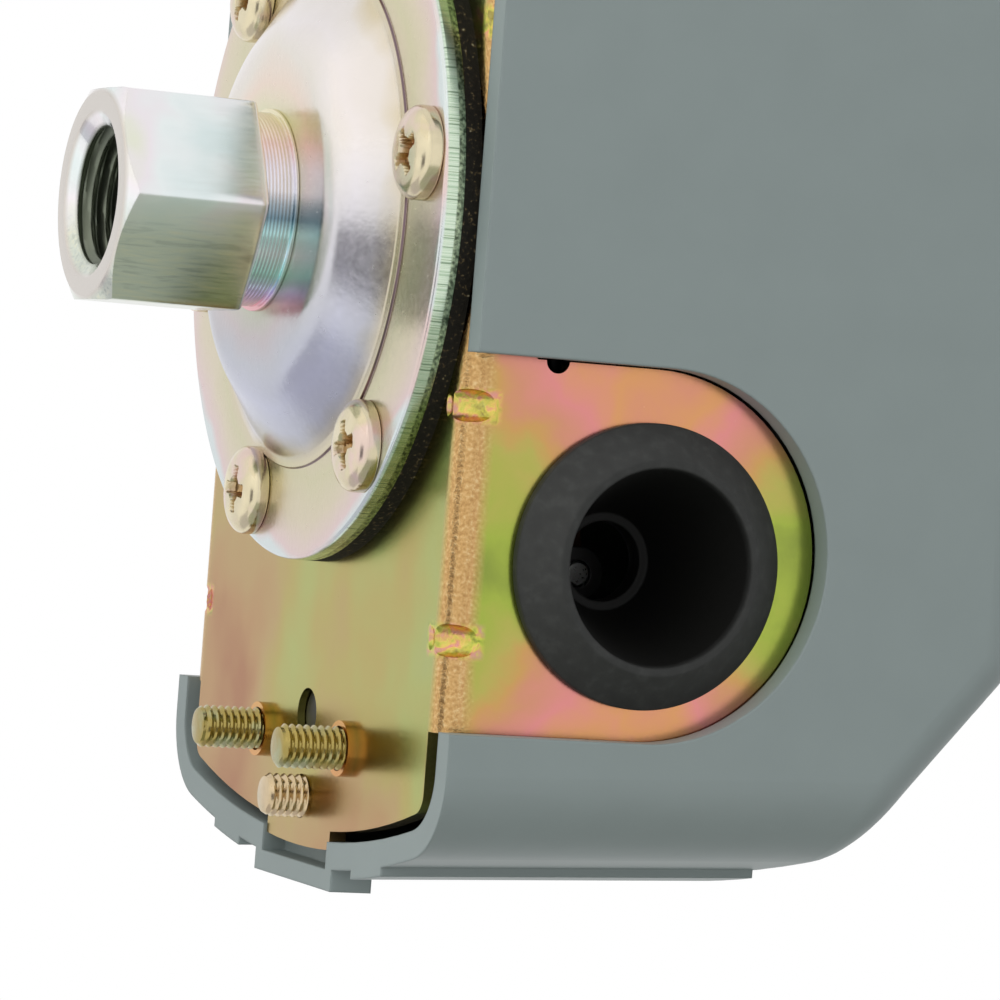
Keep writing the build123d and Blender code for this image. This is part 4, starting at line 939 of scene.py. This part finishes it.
class FlangeScrews(bpy.types.Operator):
    """Makes the pan-head screws round the flange"""

    bl_idname = "pressure_switch.flange_screws"
    bl_label = "Flange screws"

    def execute(self, context):
        s, flange = context.scene.screw_sizes, context.scene.flange_sizes
        around = flange.screw_turn + np.arange(flange.screw_count) * 2 * pi / flange.screw_count
        # each driver left its recess at another angle
        turns = around * 2.7 + 0.4
        circle = flange.screw_circle
        set_screws(
            "flange_screws",
            # its last colour is the recess's painted shade
            screw_zinc(
                "Pale_yellow_zinc_screw", context.scene.finishes.screw_zinc, "#DCC6BA", "#9A6A1E"
            ),
            screw_grid(s, s.head_radius, s.head_height, s.flange_length),
            zip(circle * np.cos(around), circle * np.sin(around), turns), flange.bottom, down=True,
        )
        return {"FINISHED"}


class TerminalEndScrews(bpy.types.Operator):
    """Makes the two ground screws and the terminal block's screw"""

    bl_idname = "pressure_switch.terminal_end_screws"
    bl_label = "Terminal end screws"

    def execute(self, context):
        s, p, f = context.scene.screw_sizes, context.scene.plate_sizes, context.scene.finishes
        set_screws(
            "ground_screws",
            # its last colour is the recess's painted shade
            screw_zinc("Yellow_green_zinc_screw", f.ground_zinc, "#A2A27C", "#5A3A12"),
            screw_grid(s, s.head_radius, s.head_height, s.ground_length),
            [(-p.ground_side, -p.ground_out, 0.5), (p.ground_side, -p.ground_out, 2.3)],
            p.ground_seat,
        )
        set_screws(
            "block_screw",
            # its last colour is the recess's painted shade
            screw_zinc("Champagne_zinc_screw", f.block_zinc, "#BDAE8C", "#7A5A2A"),
            screw_grid(s, s.block_radius, s.head_height, s.block_length),
            [(0, -p.block_out, 0.9)], p.block_seat,
        )
        return {"FINISHED"}


class TerminalScrews(bpy.types.Operator):
    """Makes the binding-head screws of the four terminals"""

    bl_idname = "pressure_switch.terminal_screws"
    bl_label = "Terminal screws"

    def execute(self, context):
        s, p = context.scene.screw_sizes, context.scene.plate_sizes
        low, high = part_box("terminal_screws")
        seat = high.z - s.binding_height
        screw = screw_grid(
            s, s.binding_radius, s.binding_height, seat - low.z, columns=72,
            rounding=s.binding_rounding
        )
        turns = ((-1.5, 0.3), (-0.5, 1.1), (0.5, 2.0), (1.5, 0.7))
        set_screws(
            "terminal_screws",
            # its last colour is the recess's painted shade
            screw_zinc(
                "Bright_zinc_screw", context.scene.finishes.bright_zinc, "#D0D2CF", "#6B6658"
            ),
            screw, [(k * p.terminal_pitch, -p.terminal_out, turn) for k, turn in turns], seat,
        )
        return {"FINISHED"}


class Studs(bpy.types.Operator):
    """Rolls the range stud and the differential stud"""

    bl_idname = "pressure_switch.studs"
    bl_label = "Adjusting studs"

    def execute(self, context):
        s, p = context.scene.screw_sizes, context.scene.plate_sizes
        zinc = plain_metal(
            "Zinc_plated_stud", context.scene.finishes.hardware_zinc, 0.2, 0.34, 0.3 * MM
        )
        for node, x, y, radius, pitch in (
            ("range_stud", 0, -p.range_out, s.stud_radius, s.stud_pitch),
            ("differential_stud", p.differential_side, p.differential_back, s.shank_radius,
             s.pitch),
        ):
            low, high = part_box(node)
            head = s.stud_head
            grid = rod_grid(radius, low.z + head, high.z, pitch, (high.x - low.x) / 2, head)
            piece = make_mesh(node + "_rolled", [placed(grid, x, y, 0, 0)], False, True)
            finish(piece, zinc, node)
        return {"FINISHED"}


class Springs(bpy.types.Operator):
    """Winds the range, differential and snap springs"""

    bl_idname = "pressure_switch.springs"
    bl_label = "Springs"

    def execute(self, context):
        p = context.scene.plate_sizes
        steel = plain_metal(
            "Oil_tempered_spring_wire", context.scene.finishes.spring_steel, 0.28, 0.42, 0.4 * MM
        )
        # the middle radius and the wire are in mm; a spring under a seat rides on no body, placing
        # baked in
        for node, x, y, radius, wire, turns, seat in (
            ("range_spring", 0, -p.range_out, 6.6, 1.8, 7, "range_seat"),
            ("differential_spring", p.differential_side, p.differential_back, 3.6, 1.1, 7,
             "differential_seat"),
            ("snap_spring", 0, -p.snap_out, 2.2, 0.7, 5, None),
        ):
            low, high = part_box(node)
            grid = spring_grid(x, y, low.z, high.z - low.z, radius * MM, wire * MM, turns)
            piece = make_mesh(node + "_wound", [grid], False, True, crease=60)
            finish(piece, steel, node, body=None if seat else "lever")
            if seat:
                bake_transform(piece)
        wear(steel, "pin_clips")
        return {"FINISHED"}


class SheetSteel(bpy.types.Operator):
    """Plates the base plate, the pivot bracket and the lever in yellow chromate"""

    bl_idname = "pressure_switch.sheet_steel"
    bl_label = "Sheet steel"

    def execute(self, context):
        plated = chromate_sheet(context.scene.finishes.yellow_zinc, context.scene.plate_sizes)
        wear(plated, "base_plate", "pivot_bracket", "lever")
        return {"FINISHED"}


class SmallHardware(bpy.types.Operator):
    """Plates the nuts, seats, pins, washers, clamps and the follower"""

    bl_idname = "pressure_switch.small_hardware"
    bl_label = "Small hardware"

    def execute(self, context):
        zinc = context.scene.finishes.hardware_zinc
        wear(
            plain_metal("Zinc_plated_small_parts", zinc, 0.22, 0.36, 0.35 * MM),
            "follower", "pivot_pin", "range_seat", "range_nut", "differential_seat",
            "differential_nut", "arm_pin", "wire_clamps", "ground_washers", "cover_nut",
        )
        return {"FINISHED"}


class ContactMetal(bpy.types.Operator):
    """Gives the terminal plates, contact bridges and contact rivets their brass and silver"""

    bl_idname = "pressure_switch.contact_metal"
    bl_label = "Contact metal"

    def execute(self, context):
        f = context.scene.finishes
        brass = plain_metal("Stamped_brass_strip", f.brass, 0.22, 0.36, 0.5 * MM)
        silver = plain_metal("Silver_contact_rivet", f.silver, 0.12, 0.25, 0.3 * MM)
        wear(brass, "terminal_plates", "contact_bridges")
        wear(silver, "fixed_contacts", "moving_contacts")
        return {"FINISHED"}


class Mouldings(bpy.types.Operator):
    """Moulds the terminal block and the contact arm"""

    bl_idname = "pressure_switch.mouldings"
    bl_label = "Mouldings"

    def execute(self, context):
        f = context.scene.finishes
        for name, base, node in (
            ("Phenolic_black", f.black_moulding, "terminal_block"),
            ("Phenolic_brown", f.brown_moulding, "contact_arm"),
        ):
            wear(moulded(name, base, 0.15, 0.4, 0.4 * MM, 0.02 * MM, 0.25 * MM), node)
        return {"FINISHED"}


class RubberParts(bpy.types.Operator):
    """Moulds the cable grommets and cuts the diaphragm"""

    bl_idname = "pressure_switch.rubber_parts"
    bl_label = "Rubber parts"

    def execute(self, context):
        f, p = context.scene.finishes, context.scene.plate_sizes
        wear(diaphragm_rubber(f.diaphragm_rubber), "diaphragm")
        wear(grommet_rubber(f.grommet_rubber, p), "grommet_left", "grommet_right")
        return {"FINISHED"}


class Cover(bpy.types.Operator):
    """Moulds the grey cover"""

    bl_idname = "pressure_switch.cover"
    bl_label = "Cover"

    def execute(self, context):
        grey = context.scene.finishes.cover_grey
        made = moulded("Moulded_ABS_grey", grey, 0.02, 0.48, 0.5 * MM, 0.012 * MM, 0.35 * MM)
        wear(made, "cover")
        return {"FINISHED"}


def seen_directly(add):
    """1 for rays that a camera, a mirror or glass sends, and 0 for those that light surfaces."""
    rays = add("LightPath").outputs
    seen = rays["Is Camera Ray"]
    for kind in ("Is Glossy Ray", "Is Transmission Ray"):
        seen = add("Math", {0: seen, 1: rays[kind]}, operation="MAXIMUM")
    return seen


def card(name, sides, near, far, material):
    """A flat card of the studio: from one side to the other in X, and between two (y, z) edges."""
    made = make_mesh(name, [[[(x, *edge) for x in sides] for edge in (near, far)]], False, False)
    made.data.materials.append(material)
    return made


class StageSet(bpy.types.Operator):
    """Sets the floor, the lamps, the sky and the camera"""

    bl_idname = "pressure_switch.stage"
    bl_label = "Stage"

    def execute(self, context):
        s = context.scene.studio
        white = (1.0, 1.0, 1.0, 1.0)
        paint, add, shader, _ = started(
            "Pale_floor_paint", Roughness=0.9, Base_Color=tuple(s.floor_pale), Emission_Color=white
        )
        # seen straight or mirrored the floor is as white as the sky, less the shadow on it
        glow = add("MapRange", {"Value": seen_directly(add), "To Min": 0.0, "To Max": 0.42})
        feed(shader, {"Emission Strength": glow})
        half, drop = s.floor_half, s.floor_drop
        card("floor", (-half, half), (-half, -drop), (half, -drop), paint)
        # cards that only mirrors see, so that they shape the reflections and take no light away
        for name, shine, strength, sides, near, far in (
            ("flag_below", s.flag_grey, 1.0, (-0.9, 0.1), (-0.55, -0.5), (-0.55, 0.9)),
            ("flag_dark", s.flag_dark, 1.0, (-0.16, 0.04), (-0.2, -0.5), (-0.02, -0.5)),
            ("flag_low", s.flag_pale, 1.0, (0.1, 0.6), (-0.3, -0.5), (-0.7, -0.15)),
            ("glow_above", (1.0, 0.98, 0.94, 1.0), s.glow, (-0.25, 0.3), (0.2, -0.53),
             (0.6, -0.35)),
        ):
            cloth = started(
                "Flag_cloth_" + name, Roughness=1.0, Base_Color=(0.0, 0.0, 0.0, 1.0),
                Specular_IOR_Level=0.0, Emission_Color=tuple(shine), Emission_Strength=strength,
            )[0]
            flag = card(name, sides, near, far, cloth)
            flag.visible_camera = flag.visible_shadow = flag.visible_diffuse = False
        world = bpy.data.worlds.new("Studio_sky")
        context.scene.world = world
        world.use_nodes = True
        world.node_tree.nodes.clear()
        add = partial(add_node, world.node_tree)
        strength = add("MapRange", {"Value": seen_directly(add), "To Min": s.sky, "To Max": 1.0})
        sky = add("Background", {"Color": white, "Strength": strength})
        add("OutputWorld", {"Surface": sky})
        for name, place, size, watts in (
            ("lamp_above", (-0.4, 0.75, -0.1), 0.8, s.key),
            ("lamp_below", (-0.2, 0.1, -0.5), 0.7, s.fill),
            ("lamp_behind", (0.6, -0.3, 0.5), 0.8, s.back),
        ):
            lamp = bpy.data.lights.new(name, "AREA")
            lamp.shape = "DISK"
            lamp.size = size
            lamp.energy = watts
            stand = bpy.data.objects.new(name, lamp)
            stand.location = place
            stand.visible_glossy = False
            aim = Vector((0.0, 0.0, 0.03)) - Vector(place)
            stand.rotation_euler = aim.to_track_quat("-Z", "Y").to_euler()
            context.scene.collection.objects.link(stand)
        lens = bpy.data.cameras.new("camera")
        lens.lens = s.lens
        lens.sensor_width = 36.0
        lens.clip_start = 0.01
        eye = bpy.data.objects.new("camera", lens)
        eye.location = s.camera_place
        eye.rotation_euler = Euler(s.camera_turn)
        context.scene.collection.objects.link(eye)
        context.scene.camera = eye
        context.scene.view_settings.view_transform = "Standard"
        return {"FINISHED"}


class PressureSwitchPanel(bpy.types.Panel):
    """Lists the pieces in the 3D view's sidebar"""

    bl_idname = "VIEW3D_PT_pressure_switch"
    bl_label = "Pressure switch"
    bl_space_type = "VIEW_3D"
    bl_region_type = "UI"
    bl_category = "Pressure switch"

    def draw(self, context):
        for operator in OPERATORS:
            self.layout.operator(operator.bl_idname)
        for group in GROUPS:
            self.layout.label(text=group)
            settings = getattr(context.scene, group)
            for name in GROUPS[group].__annotations__:
                self.layout.prop(settings, name)


GROUPS = {
    "fitting_sizes": FittingSizes,
    "flange_sizes": FlangeSizes,
    "screw_sizes": ScrewSizes,
    "plate_sizes": PlateSizes,
    "finishes": Finishes,
    "studio": Studio,
}
OPERATORS = [
    PortFitting, PressureFlange, FlangeScrews, TerminalEndScrews, TerminalScrews, Studs, Springs,
    SheetSteel, SmallHardware, ContactMetal, Mouldings, RubberParts, Cover, StageSet,
]


def register():
    """Registers the classes and hangs the settings on the scene."""
    for group in GROUPS.values():
        bpy.utils.register_class(group)
    for name, group in GROUPS.items():
        setattr(bpy.types.Scene, name, PointerProperty(type=group))
    for made in OPERATORS + [PressureSwitchPanel]:
        bpy.utils.register_class(made)


def unregister():
    """Takes the classes and the settings away again."""
    for made in [PressureSwitchPanel] + OPERATORS[::-1]:
        bpy.utils.unregister_class(made)
    for name, group in GROUPS.items():
        delattr(bpy.types.Scene, name)
        bpy.utils.unregister_class(group)


def main():
    """Registers the add-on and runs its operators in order."""
    register()
    for operator in OPERATORS:
        group, name = operator.bl_idname.split(".")
        getattr(getattr(bpy.ops, group), name)()


if __name__ == "__main__":
    main()
